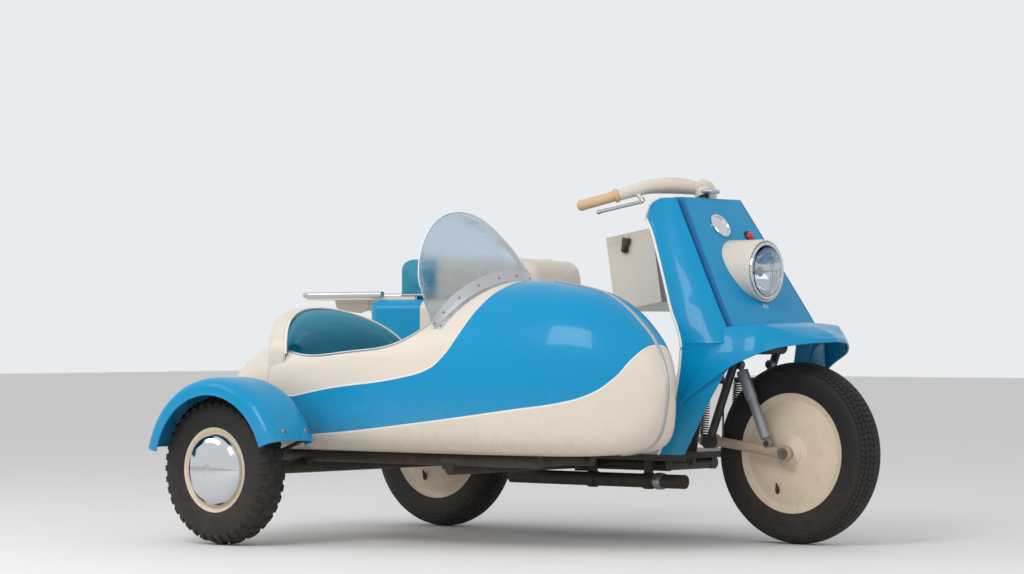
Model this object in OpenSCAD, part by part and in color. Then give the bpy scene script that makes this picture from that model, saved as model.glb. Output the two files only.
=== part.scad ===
// Motor scooter with a sidecar bolted to its right side.
// Layout frame: X forward from the rear axle, Y left from the scooter's middle plane, Z up from the road.
// Every part is then shifted so that the origin is the middle of the outfit's box, at road level.

/* [Wheels] */
// Distance between the scooter's axles
wheelbase = 1308; // [1270:1:1350]
// Outer radius of the scooter's tyres
tyre_r = 254; // [246:1:258]
// Width of the tyres
tyre_w = 104; // [92:1:110]
// Outer radius of the sidecar's tyre
side_tyre_r = 209; // [202:1:214]
// Distance from the scooter's plane to the sidecar wheel's plane
track = 1043; // [1020:1:1080]
// How far the sidecar wheel's axle is ahead of the rear axle
side_lead = 87; // [60:1:110]
// Radius of every wheel axle
axle_r = 10; // [8:0.5:12]

/* [Steering] */
// Rake of the steering axis from the vertical
rake = 24; // [22:0.5:26]
// Height of the steering head's top
head_z = 990; // [980:1:1000]
// Half spacing of the link arms that carry the front axle
link_y = 75; // [72:1:82]
// Distance between the ends of the grips
bar_w = 610; // [560:5:660]

/* [Apron] */
// Rake of the flat middle panel from the vertical
panel_rake = 31; // [30:0.5:32]
// Thickness of the apron's shell
apron_t = 5; // [4:0.5:6]
// How far the beak reaches ahead of the front axle
beak_reach = 140; // [125:1:160]
// Radius of the headlamp's rim
lamp_r = 83; // [76:1:88]
// Height of the headlamp's axis
lamp_z = 762; // [755:1:775]

/* [Body] */
// Height of the floor
floor_z = 250; // [248:1:256]
// Half width of the rear body
body_hw = 190; // [184:1:200]
// Height of the flat top of the rear body
body_top = 692; // [680:1:700]
// Thickness of the rear body's walls
body_t = 4; // [3:0.5:6]
// Height of the seat cushion at its crown
seat_h = 122; // [110:1:130]
// How far the luggage rack reaches behind the rear axle
rack_back = 472; // [440:1:490]

/* [Sidecar] */
// Distance from the scooter's plane to the sidecar's own middle plane
side_y = 610; // [600:1:620]
// Half width of the sidecar body
side_hw = 281; // [270:1:288]
// Thickness of the sidecar's shell
side_t = 6; // [5:0.5:8]
// Height of the sidecar's flat bottom
side_bottom = 256; // [252:1:262]
// Width of the sidecar's fender
fender_w = 186; // [170:1:190]
// Thickness of the windscreen
screen_t = 4; // [3:0.5:5]

/* [Hidden] */
$fn = 48;
// Running clearance between an axle or a pin and its bore
fit = 0.05;
// Gap between flat faces of pieces that move against each other
seat_gap = 0.3;

// Colours
blue = [0.02, 0.45, 0.72];
cream = [0.85, 0.81, 0.74];
teal = [0.03, 0.38, 0.47];
black = [0.05, 0.05, 0.05];
steel = [0.62, 0.63, 0.64];
alloy = [0.75, 0.76, 0.77];

// Steering head: the axis runs down and forward to a point just behind the front axle
axis_behind = 5;
head_x = wheelbase - axis_behind - (head_z - tyre_r) * tan(rake);
stem_r = 15;
head_tube_r = 24;
head_top = -110;
// Free room round turning pieces
room = 6;
head_bottom = -330;

// Apron's flat middle panel: top edge, and its face at a height z
panel_top_z = 975;
panel_top_x = wheelbase - 299;
function panel_x(z) = panel_top_x + (panel_top_z - z) * tan(panel_rake);

// Apron rows from the top down: height, rear edge behind the front axle, rear edge half width, half width of the
// middle panel, and drop of the rear edge
APRON = [
    [975, 403, 176, 131, 40],
    [925, 378, 200, 141, 12],
    [850, 340, 222, 156, 0],
    [768, 298, 245, 173, 0],
    [700, 266, 262, 186, 0],
    [654, 243, 275, 194, 0],
    [605, 216, 283, 204, 0],
    [560, 200, 286, 211, 0]];
// Cheek rows below the panel: height, rear edge behind the front axle, its half width, front edge behind the
// front axle, its half width
CHEEK = [
    [560, 200, 286, 66, 218],
    [505, 206, 284, 70, 236],
    [455, 218, 278, 94, 250],
    [390, 238, 270, 132, 256],
    [320, 264, 262, 171, 256],
    [floor_z, 300, 255, 214, 254]];
// How far the middle panel stands proud of the wings
panel_step = 12;

// Beak over the front wheel: rear end on the panel, tip, and heights of its ridge
beak_x0 = wheelbase - 86;
beak_tip = wheelbase + beak_reach;
beak_hw = 216;
ridge_z0 = 613;
ridge_z1 = 586;
beak_steps = 9;

// Flare below the beak's crease, from a point on the cheek to the tip: distance behind the front axle, half width
// and height of the lip, and the same of the crease
FLARE = [
    [205, 287, 386, 202, 289, 400],
    [128, 276, 446, 142, 270, 520],
    [52, 254, 500, 86, 228, 604],
    [-12, 228, 530, 4, 200, 611],
    [-44, 190, 546, -30, 164, 604],
    [-74, 140, 556, -60, 120, 590]];
flare_t = 4;
flare_bow = 6;

// Headlamp
lamp_face = wheelbase - 116;

// Handlebar: middle, end of the shroud and end of the grip on the right side
bar_seat = -8;
bar_mid = [head_x - 14, 0, head_z + 14];
bar_knee = [head_x - 106, -bar_w * 0.31, head_z + 4];
grip_r = 16;
bar_end = [head_x - 212, grip_r - bar_w / 2, head_z - 37];

// Where the brake lever's bracket ends
lever_root = bar_knee + [24, 6, -24];

// Where a tyre's section has its points, in degrees from the crown: the crown is flat between the middle two
TURN = [-125, -98, -74, -52, -32, -12, 12, 32, 52, 74, 98, 125];

// Rim radius of the scooter's wheels, under the tyres
rim_r = tyre_r - 86;

// Front suspension
link_hw = 9;
leg_r = 12;
link_pivot = [wheelbase - 240, tyre_r + 30];
link_tail = [link_pivot.x - 35, link_pivot.y + 1];
eye_r = 13;
damper_x = wheelbase - 55;
link_slope = atan((link_tail.y - tyre_r) / (wheelbase - link_tail.x));
damper_foot = [damper_x, tyre_r + 55 * tan(link_slope) + (link_hw - 1 + eye_r) / cos(link_slope)];
damper_top = [wheelbase - 150, tyre_r + 246];
spring_top = [wheelbase - 264, tyre_r + 192];

// Fork: legs outside the links, and the crown that joins them below the steering head
leg_y = link_y + link_hw + leg_r + 0.5;
crown_s = -482;
crown_r = 21;
crown_hw = leg_y + leg_r + 4;

// Rails under the floor
floor_t = 18;
rail_r = 18;
rail_y = 110;
rail_z = floor_z - floor_t - rail_r;
rail_front = wheelbase - 388;
rail_back = 55;
backbone_r = 22;
backbone_top = [wheelbase - 220, 0, 705];
backbone_knee = [wheelbase - 348, 0, 430];
backbone_foot = [rail_front, 0, rail_z];
hoop_r = 14;

// Rear body
body_back = -171;
body_seam = 64;
body_front = 488;
body_low = floor_z;
body_r = 70;
body_edge_r = 34;
engine_hw = 126;
engine_h = 190;
engine_back = 302;
pipe_r = 19;
pipe_z = 170;
hanger_x = [690, 890];
arm_y = 105;
arm_r = 16;

// Seat
seat_back = -97;
seat_front = 500;
seat_hw = 138;
hinge_r = 5;
seat_hinge = [seat_front + 18, body_top + 9];

// Glove box: rear top edge, tilt and size
box_pos = [wheelbase - 583, 864];
box_tilt = 9;
box_depth = 168;
box_hw = 130;
box_height = 214;
box_t = 3;
lid_h = 20;
lid_l = 150;
lid_hinge_x = [30, 120];

// Luggage rack
rack_front = -112;
rack_hw = 172;
rack_tube = 9;
rack_hole_r = 3.5;
rack_hole_x = 200;
rack_hole_y = 180;

// Sidecar body stations: x, half width as a share of the widest, top, bottom rise, height of the widest point
STATION = [
    [-228, 0.16, 392, 66, 345],
    [-212, 0.42, 432, 34, 352],
    [-158, 0.66, 474, 12, 372],
    [-62, 0.85, 556, 2, 400],
    [40, 0.94, 596, 0, 420],
    [94, 0.965, 614, 0, 428],
    [240, 0.99, 652, 0, 436],
    [420, 1, 688, 0, 440],
    [600, 0.985, 716, 0, 442],
    [760, 0.94, 732, 0, 444],
    [880, 0.875, 732, 0, 446],
    [1000, 0.77, 718, 1, 448],
    [1085, 0.67, 700, 3, 450],
    [1150, 0.57, 669, 7, 452],
    [1210, 0.455, 622, 16, 452],
    [1258, 0.325, 571, 40, 450],
    [1286, 0.20, 518, 88, 448],
    [1301, 0.06, 466, 160, 446]];
// Roundness of the upper and the lower half of a section: 2 is an ellipse, more is squarer
round_up = 2.25;
round_low = 5;
section_points = 44;
side_seam = 94;

// Cockpit opening in plan: rear end, front end, half width and squareness
pit_back = 37;
pit_front = 752;
pit_hw = 229;
pit_round = 2.3;
pit_floor = 470;

// Raised arch behind the cockpit, and the cushion in it
arch_hw = 240;
arch_depth = 68;
arch_sweep = 116;
arch_z = 665;
arch_base = 545;
cushion_top = 388;

// Windscreen: foot on the cowl at the middle and at the sides, crown, and half width
screen_foot_mid = 792;
screen_foot_side = 690;
screen_hw = 236;
screen_top = [580, 928];
screen_side = [637, 716];
screen_cols = 16;
screen_bulge = 10;
screen_rs = [-0.08, 0.09, 0.3, 0.53, 0.77, 1];
strip_t = 3;

// Sidecar fender
fender_r = side_tyre_r + 50;
fender_t = 3;
fender_from = 20;
fender_to = 166;
fender_shift = 24;
fender_skirt = 46;

// Lugs of the sidecar's tyre: height, depth of their root, and sag of their flat tops
lug_h = 6;
lug_root = 4;
lug_sag = 0.5;
// Rows of lugs: from and to round the section in degrees, length along the tread, number, and stagger in lugs
LUG = [
    [-70, -34, 17, 38, 0],
    [-28, 5, 22, 19, 0.25],
    [-5, 28, 22, 19, 0.75],
    [34, 70, 17, 38, 0.5]];

// Frame of the sidecar
side_rail_r = 16;
side_rail_z = side_bottom - side_rail_r;
side_rail_y = 115;
beam_r = 20;
beam_front = 640;
saddle_l = 40;
saddle_w = 18;
side_rim_r = side_tyre_r - 91;
side_hub_hw = 48;

hub_end = side_hub_hw + 8 - track;
cap_r = 101;
cap_h = 34;

// Middle of the outfit's box
x_mid = (wheelbase + tyre_r - rack_back) / 2;
y_mid = (bar_w / 2 - track - fender_w / 2) / 2;

// Shift from the layout frame to the middle of the box
module place() {
    translate([-x_mid, -y_mid, 0]) children();
}

// Round bar between two points
module rod(a, b, r) {
    d = b - a;
    translate(a)
        rotate([0, acos(d.z / norm(d)), atan2(d.y, d.x)])
            cylinder(r = r, h = norm(d));
}

// Round bar through a list of points, with a ball at each bend
module bent_bar(points, r) {
    for (i = [0 : len(points) - 2]) rod(points[i], points[i + 1], r);
    for (i = [1 : len(points) - 2]) translate(points[i]) sphere(r = r * 1.03);
}

// The same children on the left and on the right
module both_sides() {
    children();
    mirror([0, 1, 0]) children();
}

// Shell between two grids of points that have the same rows and columns
module skin(outer, inner) {
    for (i = [0 : len(outer) - 2])
        for (j = [0 : len(outer[i]) - 2])
            hull()
                polyhedron(
                    [for (g = [outer, inner], a = [0, 1], b = [0, 1]) g[i + a][j + b]],
                    [[0, 1, 3, 2], [4, 6, 7, 5], [0, 2, 6, 4], [1, 5, 7, 3], [0, 4, 5, 1], [2, 3, 7, 6]]);
}

// The same shell as one solid, for a single sheet: both grids and a rim round their edges
module sheet(outer, inner) {
    rows = len(outer);
    cols = len(outer[0]);
    n = rows * cols;
    cells = [for (i = [0 : rows - 2], j = [0 : cols - 2]) let (a = i * cols + j, b = a + 1, d = a + cols, c = d + 1)
        each [[a, c, b], [a, d, c], [a + n, b + n, c + n], [a + n, c + n, d + n]]];
    ring = concat([for (j = [0 : cols - 1]) j], [for (i = [1 : rows - 1]) i * cols + cols - 1],
        [for (j = [cols - 2 : -1 : 0]) n - cols + j], [for (i = [rows - 2 : -1 : 1]) i * cols]);
    rim = [for (k = [0 : len(ring) - 1]) let (p = ring[k], q = ring[(k + 1) % len(ring)])
        each [[p, q, q + n], [p, q + n, p + n]]];
    faces = concat(cells, rim);
    facing = cross(outer[0][1] - outer[0][0], outer[1][0] - outer[0][0]) * (outer[0][0] - inner[0][0]);
    polyhedron([for (g = [outer, inner], r = g, p = r) p], facing > 0 ? faces : [for (f = faces) [f[2], f[1], f[0]]]);
}

// Steering axis as the local Z, pointing up
module on_axis() {
    translate([head_x, 0, head_z]) rotate([0, -rake, 0]) children();
}

// Face of the apron's middle panel as the local YZ plane, with X pointing out
module on_panel() {
    translate([panel_top_x, 0, panel_top_z]) rotate([0, -panel_rake, 0]) children();
}

// A wheel's axle as the local Z, pointing left
module on_axle(x, y, z) {
    translate([x, y, z]) rotate([-90, 0, 0]) children();
}

// Outline with a flat bottom and two rounded top corners
module tunnel_outline(hw, low, top, r) {
    translate([-hw, low]) square([2 * hw, top - low - r]);
    translate([r - hw, low]) square([2 * (hw - r), top - low]);
    for (s = [-1, 1]) translate([s * (hw - r), top - r]) circle(r);
}

// Rectangle with four rounded corners
module round_outline(x0, x1, hw, r) {
    translate([x0 + r, -hw]) square([x1 - x0 - 2 * r, 2 * hw]);
    translate([x0, r - hw]) square([x1 - x0, 2 * (hw - r)]);
    for (x = [x0 + r, x1 - r], s = [-1, 1]) translate([x, s * (hw - r)]) circle(r);
}

// Block with a flat bottom and every other edge rounded
module round_block(x0, x1, hw, low, top, r_top, r_end, r_plan) {
    intersection() {
        translate([x0, 0, 0]) rotate([90, 0, 90]) linear_extrude(x1 - x0) tunnel_outline(hw, low, top, r_top);
        translate([(x0 + x1) / 2, hw, 0]) rotate([90, 0, 0]) linear_extrude(2 * hw)
            tunnel_outline((x1 - x0) / 2, low, top, r_end);
        translate([0, 0, low]) linear_extrude(top - low) round_outline(x0, x1, hw, r_plan);
    }
}

// Glove box frame: origin at the rear top edge, X along the lid, Z up
module on_box() {
    translate([box_pos.x, 0, box_pos.y]) rotate([0, -box_tilt, 0]) children();
}

// Main frame: steering head, backbone, rails under the floor, rear hoop and brackets
module frame() {
    hoop_y = body_hw - body_t - hoop_r - 17;
    hoop_foot = [300, hoop_y, rail_z];
    hoop_top = [258, hoop_y, body_top - body_t - hoop_r];
    color(black) place() difference() {
        union() {
            on_axis() translate([0, 0, head_bottom]) cylinder(r = head_tube_r, h = head_top - head_bottom);
            bent_bar([backbone_top, backbone_knee, backbone_foot], backbone_r);
            rod([rail_front, -rail_y, rail_z], [rail_front, rail_y, rail_z], rail_r - 1);
            rod([hoop_foot.x, -hoop_y, rail_z], [hoop_foot.x, hoop_y, rail_z], hoop_r - 1);
            rod([hoop_top.x, -hoop_y, hoop_top.z], [hoop_top.x, hoop_y, hoop_top.z], hoop_r);
            both_sides() {
                rod([rail_back, rail_y, rail_z], [rail_front + rail_r, rail_y, rail_z], rail_r);
                rod(hoop_foot, hoop_top, hoop_r - 2);
                translate(hoop_foot) sphere(r = hoop_r);
                translate(hoop_top) sphere(r = hoop_r);
            }
            on_panel() translate([-58, -28, -300])
                cube([58 - apron_t * cos(panel_rake) - fit, 56, 40]);
            on_box() translate([box_depth, -20, -115]) cube([170, 40, 30]);
        }
        on_axis() translate([0, 0, head_bottom - 1]) cylinder(r = stem_r + fit, h = head_top - head_bottom + 2);
        on_axis() translate([0, 0, head_bottom - 90]) cylinder(r = stem_r + room, h = 90);
    }
}

// Floor between the apron and the side cowl, with ears under the cheeks
module floor_pan() {
    floor_hw = 250;
    floor_back = body_front - 16;
    floor_front = wheelbase - 323;
    ear_out = 257;
    ear_in = 243;
    ear_front = wheelbase - CHEEK[5][3];
    half = [[floor_back, floor_hw], [floor_front - 20, floor_hw], [floor_front - 20, ear_out], [ear_front, ear_out],
        [ear_front, ear_in], [floor_front, ear_in]];
    color(black) place() difference() {
        translate([0, 0, floor_z - floor_t]) linear_extrude(floor_t)
            polygon(concat(half, [for (i = [len(half) - 1 : -1 : 0]) [half[i].x, -half[i].y]]));
        rod(backbone_foot, backbone_knee, backbone_r + fit);
    }
}

// Right half of the apron's upper part: wing, step and flat panel, one row per height
function apron_row(r, d) = [
    [wheelbase - r[1], -r[2] + d, r[0] - r[4]],
    [(wheelbase - r[1]) * 0.45 + (panel_x(r[0]) - panel_step) * 0.55 - 0.4 * d,
        -r[2] * 0.42 - r[3] * 0.58 - 8 + d, r[0] - r[4] * 0.4],
    [panel_x(r[0]) - panel_step - d, -r[3] - 7 + 0.6 * d, r[0]],
    [panel_x(r[0]) - d, -r[3] + 5, r[0]],
    [panel_x(r[0]) - d, 0, r[0]]];
function cheek_row(r, d) = [
    [wheelbase - r[1], -r[2] + d, r[0]],
    [wheelbase - (r[1] + r[3]) / 2, -(r[2] + r[4]) / 2 - 9 + d, r[0]],
    [wheelbase - r[3], -r[4] + d, r[0]]];

// Right half of the beak: a section at share u of its length, from the ridge to the lower edge
function beak_x(u) = beak_x0 + u * (beak_tip - beak_x0);
function beak_y(u) = beak_hw * sqrt(1 - 0.9985 * pow(u, 2.2));
function ridge(u) = ridge_z0 + u * u * (ridge_z1 - ridge_z0);
function lip(u) = 478 + 80 * pow(sin(90 * min(1, u * 1.25)), 0.8);
function beak_row(u, d) = [for (k = [[0, 0], [0.45, 0.01], [0.78, 0.06], [0.93, 0.22], [1, 0.62], [1.004, 1]])
    [beak_x(u) - d * 0.6 * u * u, -max(0, beak_y(u) - d * k[1]) * k[0],
        ridge(u) * (1 - k[1]) + lip(u) * k[1] - d * (1 - k[1])]];

// Right flare: a section from its lip to the crease, bowed outwards, and the same drawn in by d
function flare_row(r, d) = [for (t = [0, 0.5, 1]) let (bow = flare_bow * sin(180 * t))
    [wheelbase - r[0] - t * (r[3] - r[0]) - d * 0.4, -(r[1] + t * (r[4] - r[1]) + bow - d),
        r[2] + t * (r[5] - r[2])]];

// Apron: leg shield, raised middle panel, cheeks beside the wheel, and the fixed beak above it with its flare
module apron() {
    color(blue) place() both_sides() {
        difference() {
            skin([for (r = APRON) apron_row(r, 0)], [for (r = APRON) apron_row(r, apron_t)]);
            on_axis() translate([0, 0, crown_s - crown_r - room])
                cylinder(r = crown_hw + room, h = 2 * (crown_r + room));
        }
        skin([for (r = CHEEK) cheek_row(r, 0)], [for (r = CHEEK) cheek_row(r, apron_t)]);
        us = [for (i = [0 : beak_steps]) sin(90 * i / beak_steps)];
        skin([for (u = us) beak_row(u, 0)], [for (u = us) beak_row(u, apron_t)]);
        skin([for (r = FLARE) flare_row(r, 0)], [for (r = FLARE) flare_row(r, flare_t)]);
    }
}

// Headlamp: bullet shell cut off at the panel, rim with a bead, and a domed lens
module headlamp_shell() {
    shell_r = lamp_r - 4;
    color(cream) place() difference() {
        translate([lamp_face - 130, 0, lamp_z]) rotate([0, 90, 0]) {
            rotate_extrude() polygon(concat([[0, 0]],
                [for (a = [0 : 10 : 90]) [shell_r * 0.86 + shell_r * 0.14 * sin(a), 130 - 130 * cos(a) * 0.9]],
                [[shell_r, 130], [0, 130]]));
        }
        on_panel() translate([-200, -200, -500]) cube([200 + fit, 400, 600]);
    }
}
module headlamp_rim() {
    color(steel) place() translate([lamp_face, 0, lamp_z]) rotate([0, 90, 0]) difference() {
        rotate_extrude() {
            square([lamp_r - 3, 10]);
            translate([lamp_r - 6, 6]) circle(6);
        }
        translate([0, 0, 4]) cylinder(r = lamp_r - 13, h = 20);
    }
}
module headlamp_lens() {
    color([0.85, 0.9, 0.92, 0.6]) place() translate([lamp_face + 4, 0, lamp_z]) rotate([0, 90, 0])
        intersection() {
            cylinder(r = lamp_r - 13 - fit, h = 30);
            translate([0, 0, 22 - 180]) sphere(r = 180);
        }
}

// Glove box behind the apron, open at the top, with hinge lugs on its left side
module glove_box() {
    color(cream) place() on_box() {
        difference() {
            translate([0, -box_hw, -box_height]) cube([box_depth, 2 * box_hw, box_height - lid_h]);
            translate([box_t, box_t - box_hw, box_t - box_height])
                cube([box_depth - 2 * box_t, 2 * (box_hw - box_t), box_height]);
        }
        translate([lid_l + seat_gap, -box_hw, -lid_h]) cube([box_depth - lid_l - seat_gap, 2 * box_hw, lid_h]);
        for (x = lid_hinge_x) {
            translate([x - 12, box_hw, -lid_h - 14]) cube([8, 11, 14]);
            translate([x - 12, box_hw + 3, -lid_h - 14]) cube([8, 8, 17]);
        }
        translate([lid_hinge_x[0] - 12, box_hw + 8, -lid_h]) rotate([0, 90, 0])
            cylinder(r = hinge_r - 2, h = lid_hinge_x[1] - lid_hinge_x[0] + 24);
    }
}
// Lid with a rim, knuckles on the hinge pin and a latch plate on the right
module glove_lid() {
    color(cream) place() on_box() difference() {
        union() {
            translate([0, -box_hw, seat_gap - lid_h]) cube([lid_l, 2 * box_hw, lid_h - seat_gap]);
            translate([lid_l / 2 - 9, -box_hw - 4, -lid_h - 16]) cube([18, 4, 30]);
            for (x = lid_hinge_x) translate([x, 0, 0]) {
                translate([-3, box_hw - 2, 1 - lid_h]) cube([12, 10, 6]);
                translate([-3, box_hw + 8, -lid_h]) rotate([0, 90, 0]) cylinder(r = 6.5, h = 12);
            }
        }
        translate([box_t, box_t - box_hw, -lid_h - 1])
            cube([lid_l - 2 * box_t, 2 * (box_hw - box_t), lid_h - box_t + 1]);
        translate([-1, box_hw + 8, -lid_h]) rotate([0, 90, 0])
            cylinder(r = hinge_r - 2 + fit, h = box_depth + 2);
    }
}

// Engine: one plain block on the rails, ahead of the rear wheel
module engine() {
    color(steel) place() translate([engine_back, -engine_hw, rail_z + rail_r])
        cube([body_front - 22 - engine_back, 2 * engine_hw, engine_h]);
}

// Exhaust pipe from the engine's right side, forward under the floor, with two clamps
module exhaust() {
    pipe_y = -rail_y - rail_r - pipe_r - 14;
    port = [420, -engine_hw, rail_z + rail_r + 42];
    color(black) place() {
        rod(port, [port.x, pipe_y, port.z], pipe_r - 1);
        translate([port.x, pipe_y, pipe_z]) cylinder(r = pipe_r, h = port.z - pipe_z + pipe_r + 3);
        rod([port.x - pipe_r - 3, pipe_y, pipe_z], [1030, pipe_y, pipe_z], pipe_r + 1);
        for (x = hanger_x) {
            rod([x, pipe_y, pipe_z], [x + 24, pipe_y, pipe_z], pipe_r + 5);
            translate([x, pipe_y - 6, pipe_z]) cube([24, 12, floor_z - floor_t - pipe_z]);
        }
    }
}

// Rear body: a round-ended hood over the rear wheel, open below, with a slot for the wheel
module rear_body() {
    color(blue) place() difference() {
        round_block(body_back, body_seam + body_r, body_hw, body_low, body_top, body_edge_r, body_r, body_r);
        translate([body_t, 0, 0])
            round_block(body_back, body_seam + body_r, body_hw - body_t, body_low - 1, body_top - body_t,
                body_edge_r - body_t, body_r - body_t, body_r - body_t);
        translate([body_seam, -300, 0]) cube([300, 600, 900]);
        on_axle(0, -72, tyre_r) cylinder(r = tyre_r + 28, h = 144);
    }
}

// Side cowl: front half of the hood, over the engine, with lugs and a pin for the seat
module side_cowl() {
    color(cream) place() difference() {
        union() {
            translate([body_seam, 0, 0]) rotate([90, 0, 90]) linear_extrude(body_front - body_seam)
                tunnel_outline(body_hw, body_low, body_top, body_edge_r);
            for (y = [-78, 62]) {
                translate([body_front - 4, y, body_top - 14]) cube([seat_hinge.x - body_front + 12, 16, 14]);
                translate([seat_hinge.x - 8, y, body_top - 2]) cube([16, 16, seat_hinge.y - body_top + 10]);
            }
            translate([seat_hinge.x, -84, seat_hinge.y]) rotate([-90, 0, 0]) cylinder(r = hinge_r, h = 168);
        }
        translate([body_seam - 1, 0, 0]) rotate([90, 0, 90]) linear_extrude(body_front - body_seam + 1 - body_t)
            tunnel_outline(body_hw - body_t, body_low - 1, body_top - body_t, body_edge_r - body_t);
    }
}

// Long seat with knuckles on the hinge pin at its front
module seat() {
    color(teal) place() {
        round_block(seat_back, seat_front, seat_hw, body_top + seat_gap, body_top + seat_h, 46, 58, 70);
        for (y = [-58, 40]) difference() {
            union() {
                translate([seat_front - 20, y, seat_hinge.y - 6]) cube([seat_hinge.x - seat_front + 20, 18, 12]);
                translate([seat_hinge.x, y, seat_hinge.y]) rotate([-90, 0, 0])
                    cylinder(r = hinge_r + 4, h = 18);
            }
            translate([seat_hinge.x, y - 1, seat_hinge.y]) rotate([-90, 0, 0])
                cylinder(r = hinge_r + fit, h = 20);
        }
    }
}

// Luggage rack: pan with four bolt holes, a tube round its edge and arms on the body's top
module luggage_rack() {
    pan_t = 8;
    pan_z = body_top + 1;
    tube_z = pan_z + pan_t + rack_tube - 2;
    rack_mid = (rack_front - rack_back) / 2;
    corner = 60;
    color(cream) place() difference() {
        union() {
            translate([0, 0, pan_z]) linear_extrude(pan_t)
                round_outline(rack_tube - rack_back, rack_front, rack_hw - rack_tube, corner);
            both_sides() {
                translate([rack_front - corner - 40, seat_hw + 6, body_top])
                    cube([corner + 165, 12, pan_t + 1]);
                rod([corner - rack_back, rack_hw - rack_tube, tube_z],
                    [rack_front, rack_hw - rack_tube, tube_z], rack_tube);
                translate([corner - rack_back, rack_hw - corner, tube_z])
                    rotate([0, 0, 90]) rotate_extrude(angle = 90)
                        translate([corner - rack_tube, 0]) circle(rack_tube);
            }
            rod([rack_tube - rack_back, corner - rack_hw, tube_z],
                [rack_tube - rack_back, rack_hw - corner, tube_z], rack_tube);
        }
        for (x = [-0.5, 0.5] * rack_hole_x, y = [-0.5, 0.5] * rack_hole_y)
            translate([rack_mid + x, y, pan_z - 5]) cylinder(r = rack_hole_r, h = pan_t + 10);
    }
}

// Tail lamp on the rear of the body
module tail_lamp() {
    color([0.6, 0.03, 0.03]) place() translate([body_back, 0, body_top - 120]) rotate([0, -90, 0])
        rotate_extrude() {
            square([30, 10]);
            translate([0, 10]) polygon(concat([[0, 0]], [for (a = [0 : 15 : 90]) [26 * cos(a), 12 * sin(a)]]));
        }
}

// Swing arm: two arms from a cross tube behind the engine, with bosses on the rear axle
module swing_arm() {
    cross_x = engine_back - arm_r;
    color(black) place() difference() {
        union() {
            rod([cross_x, -arm_y - arm_r, tyre_r], [cross_x, arm_y + arm_r, tyre_r], arm_r);
            both_sides() {
                rod([0, arm_y, tyre_r], [cross_x, arm_y, tyre_r], arm_r - 2);
                on_axle(0, arm_y - arm_r, tyre_r) cylinder(r = arm_r + 6, h = 2 * arm_r);
            }
        }
        on_axle(0, -200, tyre_r) cylinder(r = axle_r, h = 400);
    }
}
// Rear dampers from the arms up to the frame's hoop
module rear_shocks() {
    inside = arm_y + arm_r;
    eye_w = body_hw - body_t - 17 - hoop_r - (hoop_r - 2) - inside;
    foot = [70, inside + eye_w / 2, tyre_r + 10];
    head = [268, inside + eye_w / 2, body_top - 132];
    color(steel) place() both_sides() {
        on_axle(foot.x, inside, foot.z) cylinder(r = 13, h = eye_w);
        on_axle(head.x, inside, head.z) cylinder(r = 13, h = eye_w);
        rod(foot, head, 7);
        rod(foot + 0.12 * (head - foot), foot + 0.6 * (head - foot), eye_w / 2 - 1);
    }
}
module rear_axle() {
    axle_h = 2 * (arm_y + arm_r) + 16;
    color(steel) place() on_axle(0, -axle_h / 2, tyre_r) cylinder(r = axle_r, h = axle_h);
}

// Tyre section from bead to bead round its crown, as [radius, side]
function tyre_point(r, bead, hw, a) =
    let (mid = bead + 0.48 * (r - bead), crown = pow(cos(a) / cos(TURN[5]), 0.8))
    [mid + (abs(a) < 90 ? (r - mid) * min(1, crown) : (mid - bead) / cos(TURN[0]) * -cos(a)), hw * sin(a)];
module tyre(r, bead, hw) {
    rotate_extrude() polygon([for (a = TURN) tyre_point(r, bead, hw, a)]);
}
// Disc wheel section on one side, from the bore out to the rim, as [radius, side]
function disc_side(bead, rim_hw, hub_hw, hub_r) = [[axle_r + fit, hub_hw], [hub_r * 0.5, hub_hw],
    [hub_r, rim_hw + 2], [hub_r * 1.5, rim_hw - 4], [bead * 0.6, rim_hw - 5], [bead * 0.88, rim_hw - 9],
    [bead - 6, rim_hw - 3], [bead, rim_hw]];
module disc_wheel(bead, rim_hw, hub_hw, hub_r) {
    side = disc_side(bead, rim_hw, hub_hw, hub_r);
    rotate_extrude($fn = 96)
        polygon(concat(side, [for (i = [len(side) - 1 : -1 : 0]) [side[i].x, -side[i].y]]));
}
module rear_tyre() {
    color(black) place() on_axle(0, 0, tyre_r) tyre(tyre_r, rim_r, tyre_w / 2);
}
module rear_wheel() {
    color(cream) place() on_axle(0, 0, tyre_r) disc_wheel(rim_r, tyre_w * 0.4, arm_y - arm_r - 5, 34);
}
module front_tyre() {
    color(black) place() on_axle(wheelbase, 0, tyre_r) tyre(tyre_r, rim_r, tyre_w / 2);
}
module front_wheel() {
    color(cream) place() on_axle(wheelbase, 0, tyre_r) disc_wheel(rim_r, tyre_w * 0.4, link_y - link_hw - 5, 34);
}

// Fork: stem in the steering head, crown, legs outside the links, and lugs for springs
module fork() {
    crown = [head_x - crown_s * sin(rake), head_z + crown_s * cos(rake)];
    foot = link_pivot;
    color(black) place() {
        on_axis() translate([0, 0, crown_s]) cylinder(r = stem_r, h = bar_seat - crown_s);
        rod([crown.x, -crown_hw, crown.y], [crown.x, crown_hw, crown.y], crown_r);
        both_sides() {
            rod([crown.x, leg_y, crown.y], [foot.x, leg_y, foot.y], leg_r);
            on_axle(foot.x, link_y + link_hw, foot.y) cylinder(r = 20, h = 2 * leg_r + 2);
            rod([spring_top.x - 9, link_y, spring_top.y + 8.6], [foot.x + 62, leg_y, spring_top.y + 8.6], 8);
        }
    }
}
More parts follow.
